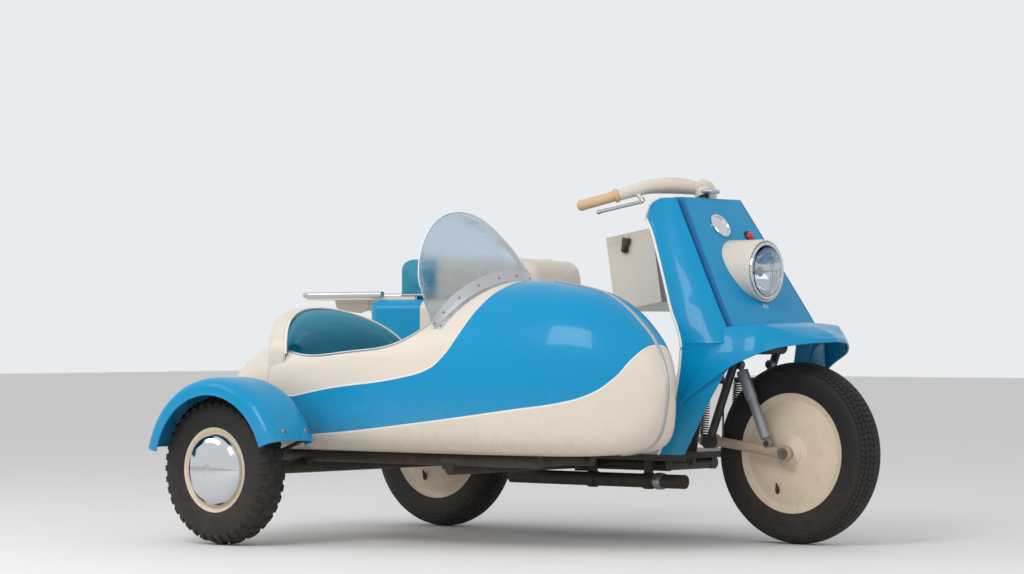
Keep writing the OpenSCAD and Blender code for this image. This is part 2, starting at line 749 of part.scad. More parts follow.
// Leading links from the fork's feet to the front axle
module link_arms() {
    color(steel) place() both_sides() difference() {
        union() {
            rod([link_tail.x, link_y, link_tail.y], [wheelbase, link_y, tyre_r], link_hw - 1);
            on_axle(wheelbase, link_y - link_hw, tyre_r) cylinder(r = 22, h = 2 * link_hw);
            on_axle(link_pivot.x, link_y - link_hw, link_pivot.y) cylinder(r = 20, h = 2 * link_hw);
            on_axle(link_tail.x, link_y - link_hw, link_tail.y) cylinder(r = 14, h = 2 * link_hw);
        }
        on_axle(wheelbase, 0, tyre_r) cylinder(r = axle_r, h = 300);
    }
}
// Front dampers: body from the lower eye, a wider cover over its upper end, and a rod to the upper eye
module dampers() {
    foot = [damper_foot.x, link_y, damper_foot.y];
    top = [damper_top.x, link_y, damper_top.y];
    color(alloy) place() both_sides() {
        rod(foot, top, 6);
        rod(foot + 0.05 * (top - foot), foot + 0.62 * (top - foot), 12);
        rod(foot + 0.58 * (top - foot), foot + 0.93 * (top - foot), 16);
        on_axle(foot.x, link_y - link_hw, foot.z) cylinder(r = eye_r, h = 2 * link_hw);
        on_axle(top.x, link_y - link_hw, top.z) cylinder(r = eye_r, h = 2 * link_hw);
    }
}
// Extension springs behind the fork, from the links' tails up to the lugs: one groove per turn
module fork_springs() {
    low = [link_tail.x, link_y, link_tail.y + 14];
    top = [spring_top.x, link_y, spring_top.y];
    turns = 12;
    pitch = norm(top - low) / turns;
    color(black) place() both_sides() translate(low)
        rotate([0, atan2(top.x - low.x, top.z - low.z), 0])
            rotate_extrude() polygon(concat([[0, 0]],
                [for (i = [0 : turns - 1]) each [[11, i * pitch], [14, (i + 0.5) * pitch]]],
                [[11, turns * pitch], [0, turns * pitch]]));
}
module front_axle() {
    axle_h = 2 * (link_y + link_hw) + 16;
    color(steel) place() on_axle(wheelbase, -axle_h / 2, tyre_r) cylinder(r = axle_r, h = axle_h);
}

// Handlebar: clamp on the stem and a tapered shroud to each side
module handlebar() {
    color(cream) place() {
        on_axis() translate([0, 0, bar_seat]) cylinder(r = 24, h = 22);
        both_sides() {
            hull() {
                translate(bar_mid) sphere(r = 22, $fn = 32);
                translate(bar_knee) sphere(r = grip_r + 2, $fn = 32);
            }
            rod(bar_knee, bar_knee + 0.3 * (bar_end - bar_knee), grip_r);
        }
        rod(bar_knee, lever_root, 7);
    }
}
// Rubber grips: one turned section with a flange at the inner end and a rounded outer end
module grips() {
    start = bar_knee + 0.3 * (bar_end - bar_knee);
    d = bar_end - start;
    length = norm(d);
    flange = 0.1 * length;
    color([0.8, 0.66, 0.52]) place() both_sides() translate(start)
        rotate([0, acos(d.z / length), atan2(d.y, d.x)])
            rotate_extrude() polygon(concat([[0, 0], [grip_r + 4, 0], [grip_r + 4, flange], [grip_r - 1, flange]],
                [for (a = [-18 : 12 : 90]) [grip_r * cos(a), length + grip_r * sin(a)]]));
}
// Brake lever below the right bar, on a boss that ends the bracket
module brake_lever() {
    tip = bar_end + [44, 20, -20];
    boss = lever_root + 9 * (lever_root - bar_knee) / norm(lever_root - bar_knee);
    color(alloy) place() {
        rod(lever_root, boss, 7);
        rod(boss, tip, 5);
        translate(tip) sphere(r = 7);
    }
}

// Nearest hundredth of a millimetre
function neat(v) = round(v * 100) / 100;
// Sidecar section at a station, drawn in by d: squarish below its widest point and round above
function side_section(s, d) = [for (i = [0 : section_points - 1])
    let (a = 360 * i / section_points, c = cos(a), q = sin(a), n = q >= 0 ? round_up : round_low,
        reach = q >= 0 ? s[2] - s[4] - d : s[4] - side_bottom - s[3] - d)
    [neat(sign(c) * pow(abs(c), 2 / n) * (side_hw * s[1] - d)),
        neat(s[4] + sign(q) * pow(abs(q), 2 / n) * reach)]];
// Sidecar body as one solid through all its stations, drawn in by d
module side_solid(d) {
    last = len(STATION) - 1;
    n = section_points;
    function ends_in(i) = d * (1 - 2 * i / last);
    points = [for (i = [0 : last], p = side_section(STATION[i], d)) [STATION[i][0] + ends_in(i), p.x - side_y, p.y]];
    sides = [for (i = [0 : last - 1], j = [0 : n - 1])
        let (a = i * n + j, b = i * n + (j + 1) % n, c = b + n, e = a + n)
        each cos(360 * (j + 0.5) / n) > 0 ? [[a, e, c], [a, c, b]] : [[a, e, b], [e, c, b]]];
    caps = [[for (j = [0 : n - 1]) j], [for (j = [n - 1 : -1 : 0]) last * n + j]];
    polyhedron(points, concat(sides, caps));
}
// Cockpit opening, drawn in by d
module pit(d) {
    mid = (pit_back + pit_front) / 2;
    half = (pit_front - pit_back) / 2 - d;
    translate([mid, -side_y, pit_floor]) linear_extrude(500)
        polygon([for (a = [0 : 6 : 354]) [half * sign(cos(a)) * pow(abs(cos(a)), 2 / pit_round),
            (pit_hw - d) * sign(sin(a)) * pow(abs(sin(a)), 2 / pit_round)]]);
}
module side_shell(d) {
    difference() {
        side_solid(-d);
        side_solid(side_t + d);
        pit(d);
    }
}
// Station between two rows of the table, and the height of the deck e beside the middle plane
function station_at(x, i = 0) = x <= STATION[i + 1][0] || i == len(STATION) - 2 ?
    let (u = (x - STATION[i][0]) / (STATION[i + 1][0] - STATION[i][0])) STATION[i] * (1 - u) + STATION[i + 1] * u :
    station_at(x, i + 1);
function deck_z(x, e) = let (s = station_at(x), q = min(1, abs(e) / (side_hw * s[1])))
    s[4] + (s[2] - s[4]) * pow(1 - pow(q, round_up), 1 / round_up);

// Sidecar body ahead of the seam, and its tail behind it
module sidecar_body() {
    color(blue) place() difference() {
        side_shell(0);
        translate([-1000 + side_seam, -side_y - 500, 0]) cube(1000);
    }
}
module sidecar_tail() {
    color(cream) place() difference() {
        side_shell(0);
        translate([side_seam, -side_y - 1000, 0]) cube(2000);
    }
}

// Raised arch behind the cockpit: front and back edge in plan, and its top, e beside the middle
function arch_front(e) = pit_back + arch_sweep * pow(e / arch_hw, 2);
function arch_back(e) = pit_back - arch_depth + arch_sweep * pow(e / arch_hw, 2);
function arch_top(e) = arch_base + (arch_z - arch_base) * sqrt(1 - 0.99 * pow(e / arch_hw, 2));
arch_es = [for (i = [0 : 16]) arch_hw * sin(-90 + 180 * i / 16)];
module sidecar_arch() {
    rows = [[0, -3], [0.3, 0], [0.7, -2], [1, -12]];
    function at(e, r, low) = [arch_front(e) * (1 - r[0]) + arch_back(e) * r[0], e - side_y,
        low ? pit_floor : arch_top(e) + r[1]];
    color(cream) place() difference() {
        skin([for (r = rows) [for (e = arch_es) at(e, r, false)]], [for (r = rows) [for (e = arch_es) at(e, r, true)]]);
        side_solid(0);
    }
}
// Upholstered back in front of the arch, down to the cushion
module sidecar_seat_back() {
    back_es = [for (i = [0 : 12]) arch_hw * 0.66 * (-1 + i / 6)];
    rows = [[2, -6], [12, -2], [32, -8], [44, -30]];
    function at(e, r, low) = [arch_front(e) + r[0], e - side_y, low ? cushion_top + seat_gap : arch_top(e) + r[1]];
    color(teal) place() difference() {
        skin([for (r = rows) [for (e = back_es) at(e, r, false)]], [for (r = rows) [for (e = back_es) at(e, r, true)]]);
        side_shell(seat_gap);
    }
}
// Cushion on the sidecar's floor
module sidecar_seat() {
    color(teal) place() intersection() {
        side_solid(side_t + seat_gap);
        translate([0, -side_y, 0])
            round_block(arch_front(0) + 22, 500, 205, side_bottom, cushion_top, 40, 40, 60);
    }
}

// Windscreen: column c from -1 to 1, share r from the foot on the deck to the top edge
function screen_foot(c) = let (e = screen_hw * sin(90 * c),
    x = screen_foot_mid - (screen_foot_mid - screen_foot_side) * pow(sin(90 * c), 2)) [x, e, deck_z(x, e)];
function screen_edge(c) = let (k = pow(cos(90 * c), 1.15))
    [screen_side[0] + (screen_top[0] - screen_side[0]) * k, screen_hw * sin(90 * c),
        screen_side[1] + (screen_top[1] - screen_side[1]) * k];
function screen_out(c) = [0.68 * cos(70 * c), sin(70 * c), 0.73 * cos(70 * c)];
function screen_at(c, r, d) = screen_foot(c) * (1 - r) + screen_edge(c) * r
    + screen_out(c) * (screen_bulge * 4 * max(0, r) * (1 - r) + d) - [0, side_y, 0];
screen_cs = [for (i = [0 : screen_cols]) -0.999 + 1.998 * i / screen_cols];
function screen_grid(last, d) = [for (i = [0 : last]) [for (c = screen_cs) screen_at(c, screen_rs[i], d)]];
module windscreen() {
    color([0.8, 0.85, 0.87, 0.5]) place() difference() {
        sheet(screen_grid(len(screen_rs) - 1, 0), screen_grid(len(screen_rs) - 1, -screen_t));
        side_solid(0);
    }
}
// Clamp strip along the windscreen's foot
module windscreen_strip() {
    color(alloy) place() difference() {
        sheet(screen_grid(1, seat_gap + strip_t), screen_grid(1, seat_gap));
        side_solid(0);
    }
}
// Bright strip along the middle of the nose, from the cowl round to the bottom
module nose_strip() {
    first = 10;
    last = len(STATION) - 1;
    path = concat([for (i = [first : last]) [STATION[i][0], STATION[i][2]]],
        [for (i = [last : -1 : last - 5]) [STATION[i][0], side_bottom + STATION[i][3]]]);
    function along(k) = let (d = path[min(k + 1, len(path) - 1)] - path[max(k - 1, 0)]) [-d.y, d.x] / norm(d);
    function row(k, out, w) = [for (s = [-1, 1])
        [path[k].x + along(k).x * out, s * w - side_y, path[k].y + along(k).y * out]];
    color(alloy) place() difference() {
        skin([for (k = [0 : len(path) - 1]) row(k, 4, 4)], [for (k = [0 : len(path) - 1]) row(k, -5, 7)]);
        side_solid(0);
    }
}

// Frame of the sidecar: two rails under the body on saddles, and two beams clamped to the scooter's right rail
module sidecar_frame() {
    beam_end = -rail_y - rail_r;
    color(black) place() {
        for (s = [-1, 1]) rod([-20, s * side_rail_y - side_y, side_rail_z],
            [960, s * side_rail_y - side_y, side_rail_z], side_rail_r);
        rod([960 - 20, -side_rail_y - side_y, side_rail_z], [960 - 20, side_rail_y - side_y, side_rail_z], 12);
        rod([side_lead, hub_end, side_tyre_r], [side_lead, beam_end, side_tyre_r], beam_r);
        rod([beam_front, -side_rail_y - side_y, rail_z], [beam_front, beam_end, rail_z], beam_r - 4);
        for (s = [-1, 1], beam = [[side_lead, side_tyre_r], [beam_front, rail_z]])
            translate([beam.x - saddle_l / 2, s * side_rail_y - side_y - saddle_w / 2, beam.y])
                cube([saddle_l, saddle_w, side_rail_z - beam.y]);
        difference() {
            for (x = [side_lead, beam_front]) translate([x - 24, beam_end - 10, rail_z - rail_r - 6])
                cube([48, 46, rail_r + 6]);
            rod([0, -rail_y, rail_z], [1000, -rail_y, rail_z], rail_r);
        }
    }
}
module sidecar_axle() {
    color(steel) place() rod([side_lead, -track - 30, side_tyre_r], [side_lead, hub_end, side_tyre_r], axle_r);
}
// Knobby tyre: a plain tyre with rows of lugs, each a slice of the full section's edge
module lug(row) {
    function top(a) = tyre_point(side_tyre_r - lug_sag, side_rim_r, tyre_w / 2, a);
    function root(a) = tyre_point(side_tyre_r - lug_h - lug_root, side_rim_r, tyre_w / 2 - lug_root, a);
    rotate([90, 0, 0]) linear_extrude(height = row.z, center = true)
        polygon([top(row.x), top(row.y), root(row.y), root(row.x)]);
}
module sidecar_tyre() {
    color(black) place() on_axle(side_lead, -track, side_tyre_r) {
        tyre(side_tyre_r - lug_h, side_rim_r, tyre_w / 2 - 2);
        for (row = LUG, i = [1 : row[3]]) rotate([0, 0, (i + row[4]) * 360 / row[3]]) lug(row);
    }
}
module sidecar_wheel() {
    color(cream) place() on_axle(side_lead, -track, side_tyre_r)
        disc_wheel(side_rim_r, tyre_w * 0.4, side_hub_hw, 30);
}
// Domed chrome cap on the outer face of the sidecar wheel
module sidecar_hubcap() {
    face = disc_side(side_rim_r, tyre_w * 0.4, side_hub_hw, 30);
    base = lookup(cap_r, face);
    function dome(r, h) = [for (a = [0 : 10 : 90]) [r * cos(a), base + 4 + h * sin(a)]];
    color(alloy) place() on_axle(side_lead, -track, side_tyre_r) mirror([0, 0, 1])
        rotate_extrude($fn = 96) polygon(concat([[cap_r - 4, lookup(cap_r - 4, face)], [cap_r, base]],
            dome(cap_r, cap_h), [for (i = [9 : -1 : 0]) dome(cap_r - 4, cap_h - 3)[i]]));
}

// Fender over the sidecar wheel: crowned section with a skirt on each side
module fender_form() {
    function arch(hw, r) = [for (a = [0 : 12 : 180])
        [fender_r - fender_skirt + (r - fender_r + fender_skirt) * pow(sin(a), 0.5), hw * sign(cos(a)) * pow(abs(cos(a)), 0.5)]];
    inner = arch(fender_w / 2 - fender_t, fender_r - fender_t);
    on_axle(side_lead + fender_shift, -track, side_tyre_r)
        rotate([0, 0, -fender_to]) rotate_extrude(angle = fender_to - fender_from, $fn = 96)
            polygon(concat(arch(fender_w / 2, fender_r), [for (i = [len(inner) - 1 : -1 : 0]) inner[i]]));
}
module sidecar_fender() {
    color(blue) place() fender_form();
}
// Stay inside the fender's inner skirt, from the axle beam to both of its ends
module fender_stay() {
    stay_r = 6;
    y = fender_w / 2 - track - fender_t - stay_r;
    reach = fender_r - fender_skirt * 0.4;
    function tip(a) = [side_lead + fender_shift + reach * cos(a), y, side_tyre_r + reach * sin(a)];
    root = [side_lead, y, side_tyre_r];
    color(black) place() difference() {
        for (a = [fender_from + 3, fender_to - 3]) rod(root, tip(a), stay_r);
        rod([side_lead, -track, side_tyre_r], [side_lead, 0, side_tyre_r], beam_r);
        fender_form();
    }
}

frame();
floor_pan();
apron();
headlamp_shell();
headlamp_rim();
headlamp_lens();
glove_box();
glove_lid();
engine();
exhaust();
rear_body();
side_cowl();
seat();
luggage_rack();
tail_lamp();
swing_arm();
rear_shocks();
rear_axle();
rear_tyre();
rear_wheel();
fork();
link_arms();
dampers();
fork_springs();
front_axle();
front_tyre();
front_wheel();
handlebar();
grips();
brake_lever();
sidecar_frame();
sidecar_axle();
sidecar_tyre();
sidecar_wheel();
sidecar_hubcap();
sidecar_body();
sidecar_tail();
sidecar_arch();
sidecar_seat_back();
sidecar_seat();
windscreen();
windscreen_strip();
nose_strip();
sidecar_fender();
fender_stay();
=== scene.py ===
# %% [markdown]
# # A scooter with a sidecar
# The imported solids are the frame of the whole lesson: every piece below is dressed on them, in metres.
# Sizes are kept in millimetres as on the drawing, measured from the rear axle, the scooter's middle plane
# and the road. One function, at(), turns such a point into the frame's metres, so no piece is ever fitted by eye.

# %% Load the frame
import math
import bpy
import bmesh
import numpy as np
from mathutils import Matrix, Vector
from mathutils.bvhtree import BVHTree


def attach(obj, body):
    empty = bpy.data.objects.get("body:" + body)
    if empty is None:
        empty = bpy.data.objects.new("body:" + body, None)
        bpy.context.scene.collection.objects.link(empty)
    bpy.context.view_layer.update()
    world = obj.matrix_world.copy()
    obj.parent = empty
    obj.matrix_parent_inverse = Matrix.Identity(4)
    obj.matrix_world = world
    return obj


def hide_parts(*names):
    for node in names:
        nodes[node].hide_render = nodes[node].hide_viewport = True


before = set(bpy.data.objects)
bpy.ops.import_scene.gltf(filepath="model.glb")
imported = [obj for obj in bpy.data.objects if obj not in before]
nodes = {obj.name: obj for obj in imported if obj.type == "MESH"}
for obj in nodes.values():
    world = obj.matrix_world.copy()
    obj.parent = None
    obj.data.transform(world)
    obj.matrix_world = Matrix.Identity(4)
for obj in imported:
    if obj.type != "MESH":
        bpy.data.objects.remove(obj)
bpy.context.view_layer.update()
X_MID, Y_MID, MM = 545.0, -415.5, 0.001


def at(x, y, z):
    return Vector(((x - X_MID) * MM, (y - Y_MID) * MM, z * MM))


# %% [markdown]
# The camera stands where the photographer stood. Its focal length, place and direction were worked out from the
# wheels, whose sizes and spacing are known, so the render can be laid over the photograph. A long lens from far
# away keeps the wheels' ellipses right, where a short lens would swell the nearest one.

# %% Camera
scene = bpy.context.scene
CAMERA_AZIMUTH, CAMERA_PITCH, FOCAL_PX, IMAGE_W = math.radians(39.407), math.radians(0.91), 3052, 1024
SENSOR_W, EYE = 36, (6113.1, -7115.6, 582.6)
eye = bpy.data.objects.new("camera", bpy.data.cameras.new("camera"))
scene.collection.objects.link(eye)
eye.data.sensor_width = SENSOR_W
eye.data.lens = FOCAL_PX * SENSOR_W / IMAGE_W
eye.location = at(*EYE)
eye.rotation_euler = (math.pi / 2 + CAMERA_PITCH, 0, CAMERA_AZIMUTH)
scene.camera = eye
print("camera lens", round(eye.data.lens, 1), "mm")

# %% [markdown]
# Studio light: a large soft key high on the right, as the sun stood, a wider fill from the front, and a strip behind
# that draws a bright line along the paint's edges. The world is a mild grey for light, and a pale backdrop for the
# camera, for mirrors and for glass, so that chrome shows the pale room too.

# %% Floor, lights and world
scene.view_settings.view_transform = "Standard"
SOFTBOXES = [  # name, place, target, size, watts
    ("key", (0.9, -4.2, 3.8), (0, 0, 0.4), (2, 2), 105),
    ("fill", (4.8, -0.4, 2.4), (0.3, 0, 0.5), (3, 2), 24),
    ("rim", (-3.2, -2.6, 2.8), (0, 0, 0.5), (3, 1.2), 34)]
ROOM_SEEN, ROOM_LIT = ((0.86, 0.88, 0.9), 0.95), ((0.95, 0.97, 1), 0.72)
FLOOR_HALF = 30


def softbox(name, place, target, size, watts):
    lamp = bpy.data.lights.new(name, "AREA")
    lamp.shape, lamp.size, lamp.size_y, lamp.energy = "RECTANGLE", size[0], size[1], watts
    holder = bpy.data.objects.new(name, lamp)
    scene.collection.objects.link(holder)
    holder.location = place
    holder.rotation_euler = (Vector(target) - Vector(place)).to_track_quat("-Z", "Y").to_euler()


for lamp_row in SOFTBOXES:
    softbox(*lamp_row)


def graph(tree, *new):
    return [tree.nodes.new(kind) for kind in new]


def pale_for_eye(tree):
    """One backdrop for the camera, mirrors and glass, and another, dimmer, for the light on the piece."""
    path, flag, sum_up, seen, lit, mix = graph(
        tree, "ShaderNodeLightPath", "ShaderNodeMath", "ShaderNodeMath", "ShaderNodeBackground",
        "ShaderNodeBackground", "ShaderNodeMixShader")
    flag.operation = sum_up.operation = "MAXIMUM"
    for shader, (colour, strength) in ((seen, ROOM_SEEN), (lit, ROOM_LIT)):
        shader.inputs[0].default_value, shader.inputs[1].default_value = (*colour, 1), strength
    link = tree.links.new
    link(path.outputs["Is Camera Ray"], flag.inputs[0])
    link(path.outputs["Is Glossy Ray"], flag.inputs[1])
    link(flag.outputs[0], sum_up.inputs[0])
    link(path.outputs["Is Transmission Ray"], sum_up.inputs[1])
    link(sum_up.outputs[0], mix.inputs[0])
    link(lit.outputs[0], mix.inputs[1])
    link(seen.outputs[0], mix.inputs[2])
    return mix


room = bpy.data.worlds.new("room")
room.use_nodes = True
scene.world = room
room.node_tree.links.new(pale_for_eye(room.node_tree).outputs[0], room.node_tree.nodes["World Output"].inputs[0])

bm = bmesh.new()
bmesh.ops.create_grid(bm, x_segments=1, y_segments=1, size=FLOOR_HALF)
floor_mesh = bpy.data.meshes.new("floor")
bm.to_mesh(floor_mesh)
bm.free()
floor = bpy.data.objects.new("floor", floor_mesh)
scene.collection.objects.link(floor)

# %% [markdown]
# The finishes. Old enamel is never one flat colour: it has slight clouds, a faint orange-peel surface, and road dust
# that gathers low down. Dust could be painted by hand, but a node group does it for every finish from the point's
# own height and a little noise, so it stays put when the piece turns or is seen from another side.

# %% Shared effect: clouds, dust and surface texture
def srgb(code):
    parts = [int(code[i:i + 2], 16) / 255 for i in (0, 2, 4)]
    return tuple(c / 12.92 if c <= 0.04045 else ((c + 0.055) / 1.055) ** 2.4 for c in parts) + (1.0,)


DUST = srgb("A08A72")


def effect(name, inputs, outputs):
    group = bpy.data.node_groups.new(name, "ShaderNodeTree")
    for label, kind, value in inputs:
        socket = group.interface.new_socket(name=label, in_out="INPUT", socket_type=kind)
        socket.default_value = value
    for label, kind in outputs:
        group.interface.new_socket(name=label, in_out="OUTPUT", socket_type=kind)
    return (group, *graph(group, "NodeGroupInput", "NodeGroupOutput", "ShaderNodeTexCoord"))


def feed(tree, socket, value):
    """Set a socket to a constant, or link it to another node's output."""
    if isinstance(value, (int, float, tuple)):
        socket.default_value = value
    else:
        tree.links.new(value, socket)


def noise(tree, where, scale, detail, rough=0.55):
    (n,) = graph(tree, "ShaderNodeTexNoise")
    n.inputs["Detail"].default_value, n.inputs["Roughness"].default_value = detail, rough
    feed(tree, n.inputs["Scale"], scale)
    tree.links.new(where, n.inputs["Vector"])
    return n.outputs["Fac"]


def math_node(tree, kind, *values, clamp=False):
    (n,) = graph(tree, "ShaderNodeMath")
    n.operation, n.use_clamp = kind, clamp
    for socket, value in zip(n.inputs, values):
        feed(tree, socket, value)
    return n.outputs[0]


def span(tree, value, low, high, to_low, to_high):
    (n,) = graph(tree, "ShaderNodeMapRange")
    for socket, number in zip(n.inputs[1:5], (low, high, to_low, to_high)):
        socket.default_value = number
    tree.links.new(value, n.inputs[0])
    return n.outputs[0]


def blend_colour(tree, share, first, second, kind="MIX"):
    (n,) = graph(tree, "ShaderNodeMix")
    n.data_type, n.blend_type = "RGBA", kind
    for socket, value in zip((n.inputs[0], n.inputs[6], n.inputs[7]), (share, first, second)):
        feed(tree, socket, value)
    return n.outputs[2]


CLOUD_SCALE, SPECK_SCALE, DUST_FADE, FILM_SHARE, DUST_ROUGH, SPECK_ROUGH = 4.5, 38, 1.25, 0.05, 0.45, 0.09
aged, a_in, a_out, a_where = effect(
    "aged_finish",
    [("Colour", "NodeSocketColor", (1, 1, 1, 1)), ("Clouds", "NodeSocketFloat", 0.12),
     ("Dust", "NodeSocketFloat", 0.5), ("Dust height", "NodeSocketFloat", 0.32),
     ("Gloss", "NodeSocketFloat", 0.25), ("Texture scale", "NodeSocketFloat", 220)],
    [("Colour", "NodeSocketColor"), ("Roughness", "NodeSocketFloat"), ("Height", "NodeSocketFloat")])
point = a_where.outputs["Object"]
cloud = noise(aged, point, CLOUD_SCALE, 3)
speck = noise(aged, point, SPECK_SCALE, 5, 0.7)
fine = noise(aged, point, a_in.outputs["Texture scale"], 2)
(split,) = graph(aged, "ShaderNodeSeparateXYZ")
aged.links.new(point, split.inputs[0])
low = math_node(aged, "DIVIDE", split.outputs["Z"], a_in.outputs["Dust height"])
settled = math_node(aged, "SUBTRACT", DUST_FADE, low, clamp=True)
patchy = span(aged, speck, 0.3, 0.75, 0.15, 1)
dust = math_node(aged, "MULTIPLY", math_node(aged, "MULTIPLY", settled, patchy), a_in.outputs["Dust"], clamp=True)
everywhere = math_node(aged, "MULTIPLY", patchy, a_in.outputs["Dust"])
film = math_node(aged, "MULTIPLY_ADD", everywhere, FILM_SHARE, dust, clamp=True)
shade = math_node(aged, "MULTIPLY_ADD", math_node(aged, "SUBTRACT", cloud, 0.5), a_in.outputs["Clouds"], 1)
toned = blend_colour(aged, 1.0, a_in.outputs["Colour"], shade, "MULTIPLY")
aged.links.new(blend_colour(aged, film, toned, DUST), a_out.inputs["Colour"])
rough = math_node(aged, "MULTIPLY_ADD", film, DUST_ROUGH, a_in.outputs["Gloss"])
rough = math_node(aged, "MULTIPLY_ADD", math_node(aged, "SUBTRACT", speck, 0.5), SPECK_ROUGH, rough, clamp=True)
aged.links.new(rough, a_out.inputs["Roughness"])
aged.links.new(fine, a_out.inputs["Height"])
print("effect", aged.name, len(aged.nodes), "nodes")

# %% [markdown]
# Each material is one Principled shader fed by the effect, with its own constants set on the shader's sockets.
# Paint gets a clear coat and metals get their metallic value. Vinyl, further down, has a grain of its own.

# %% Material maker
def new_material(name, **plain):
    mat = bpy.data.materials.new(name)
    mat.use_nodes = True
    shader = mat.node_tree.nodes["Principled BSDF"]
    for label, value in plain.items():
        shader.inputs[label.replace("_", " ")].default_value = value
    return mat, mat.node_tree, shader


def place_effect(tree, colour, clouds, dust, dust_height, gloss, texture):
    (box,) = graph(tree, "ShaderNodeGroup")
    box.node_tree = aged
    for label, value in zip(("Colour", "Clouds", "Dust", "Dust height", "Gloss", "Texture scale"),
                            (colour, clouds, dust, dust_height, gloss, texture)):
        feed(tree, box.inputs[label], value)
    return box


def finish_with(tree, shader, box, strength, distance=0.001):
    (bump,) = graph(tree, "ShaderNodeBump")
    bump.inputs["Strength"].default_value, bump.inputs["Distance"].default_value = strength, distance
    tree.links.new(box.outputs["Height"], bump.inputs["Height"])
    tree.links.new(bump.outputs[0], shader.inputs["Normal"])
    tree.links.new(box.outputs["Colour"], shader.inputs["Base Color"])
    tree.links.new(box.outputs["Roughness"], shader.inputs["Roughness"])


def aged_material(name, code, clouds=0.12, dust=0.5, dust_height=0.32, gloss=0.25, texture=220, strength=0.05,
                  **plain):
    mat, tree, shader = new_material(name, **plain)
    box = place_effect(tree, srgb(code), clouds, dust, dust_height, gloss, texture)
    finish_with(tree, shader, box, strength)
    return mat


COAT = dict(Coat_Weight=0.2, Coat_Roughness=0.04, Specular_IOR_Level=0.12)
BLUE, CREAM, TEAL = "008DBE", "DDD2C4", "0A83A0"
blue_paint = aged_material("blue_enamel", BLUE, gloss=0.3, dust=0.35, **COAT)
cream_paint = aged_material("cream_enamel", CREAM, gloss=0.33, dust=0.5, dust_height=0.36, clouds=0.08, **COAT)
wheel_paint = aged_material("wheel_enamel", "DFCDB4", gloss=0.45, dust=0.35, dust_height=0.5, Coat_Weight=0.15)
black_paint = aged_material("chassis_black", "171615", gloss=0.45, dust=0.22, dust_height=0.5, strength=0.15)
steel = aged_material("bare_steel", "8F8B84", gloss=0.38, dust=0.4, dust_height=0.5, strength=0.1, Metallic=0.85)
link_steel = aged_material("beige_steel", "B7A48D", gloss=0.5, dust=0.5, dust_height=0.5, strength=0.1, Metallic=0.3)
damper_grey = aged_material("damper_grey", "8F9096", gloss=0.42, dust=0.25, dust_height=0.4, Metallic=0.5)
alloy = aged_material("brushed_alloy", "B9BBBE", gloss=0.34, dust=0.12, clouds=0.25, strength=0.08, Metallic=0.9)
chrome = aged_material("chrome_plate", "D4D8DC", gloss=0.07, dust=0.15, clouds=0.1, strength=0.02, Metallic=1.0)
rubber = aged_material("dusty_rubber", "0C0B0B", gloss=0.7, dust=0.1, dust_height=0.3, texture=420, strength=0.35,
                       clouds=0.5)
grip_rubber = aged_material("aged_grip", "D9B48E", gloss=0.6, dust=0.1, texture=500, strength=0.2)
# An opaque pale finish for the windscreen's edge bead: a painted highlight for the light that the acrylic's edge
# gathers.
perspex_edge_highlight = aged_material("perspex_edge_highlight", "E9EEF2", gloss=0.15, dust=0.02, strength=0.02)
jewel_red = aged_material("jewel_red", "D2202E", gloss=0.12, dust=0.0, strength=0.02)
# A darker blue for the faces in the leg shield's groove: painted shade in the recess.
groove_painted_shade = aged_material("shaded_groove", "0068A0", gloss=0.6, dust=0.1)
bronze = aged_material("latch_bronze", "4A3A28", gloss=0.35, dust=0.1, Metallic=0.7)
white_bead = aged_material("white_bead", "E9E7E2", gloss=0.45, dust=0.25)
lining = aged_material("cockpit_lining", "0F5A6B", gloss=0.85, dust=0.12, texture=900, strength=0.4)
floor_finish = aged_material("studio_floor", "E4E2DF", gloss=0.75, dust=0.0, texture=30, strength=0.02, clouds=0.04)
floor.data.materials.append(floor_finish)
print("materials so far:", len(bpy.data.materials))

# %% [markdown]
# The sidecar's blue sweep is one painted shape on a cream shell. It could be cut into the mesh, but a painted edge
# has no thickness, so two curves in the material give its upper and lower border: height as a function of length.
# A point is blue between the two. The borders are smooth because a Float Curve node bends through their points.

# %% Two-tone enamel
SWEEP_X, SWEEP_Z = (200, 1310), (250, 750)
SWEEP_TOP = [(200, 414), (330, 436), (604, 470), (690, 492), (738, 528), (776, 588), (806, 660), (828, 712),
             (852, 742), (1310, 750)]
SWEEP_LOW = [(200, 300), (420, 318), (604, 338), (800, 362), (957, 384), (1080, 402), (1150, 422), (1210, 462),
             (1245, 512), (1270, 566), (1310, 700)]


def object_xyz(tree):
    (spot, xyz) = graph(tree, "ShaderNodeTexCoord", "ShaderNodeSeparateXYZ")
    tree.links.new(spot.outputs["Object"], xyz.inputs[0])
    return xyz.outputs


def step_at(tree, first, second, sharp):
    """0 where the first value is below the second, 1 where it is above, with a short slope between."""
    return math_node(tree, "MULTIPLY_ADD", math_node(tree, "SUBTRACT", first, second), sharp, 0.5, clamp=True)


def border(tree, share, points):
    (curve,) = graph(tree, "ShaderNodeFloatCurve")
    line = curve.mapping.curves[0]
    spots = [((x - SWEEP_X[0]) / (SWEEP_X[1] - SWEEP_X[0]), (z - SWEEP_Z[0]) / (SWEEP_Z[1] - SWEEP_Z[0]))
             for x, z in points]
    while len(line.points) < len(spots):
        line.points.new(0.5, 0.5)
    for p, spot in zip(line.points, spots):
        p.location, p.handle_type = spot, "AUTO_CLAMPED"
    curve.mapping.update()
    tree.links.new(share, curve.inputs["Value"])
    return curve.outputs[0]


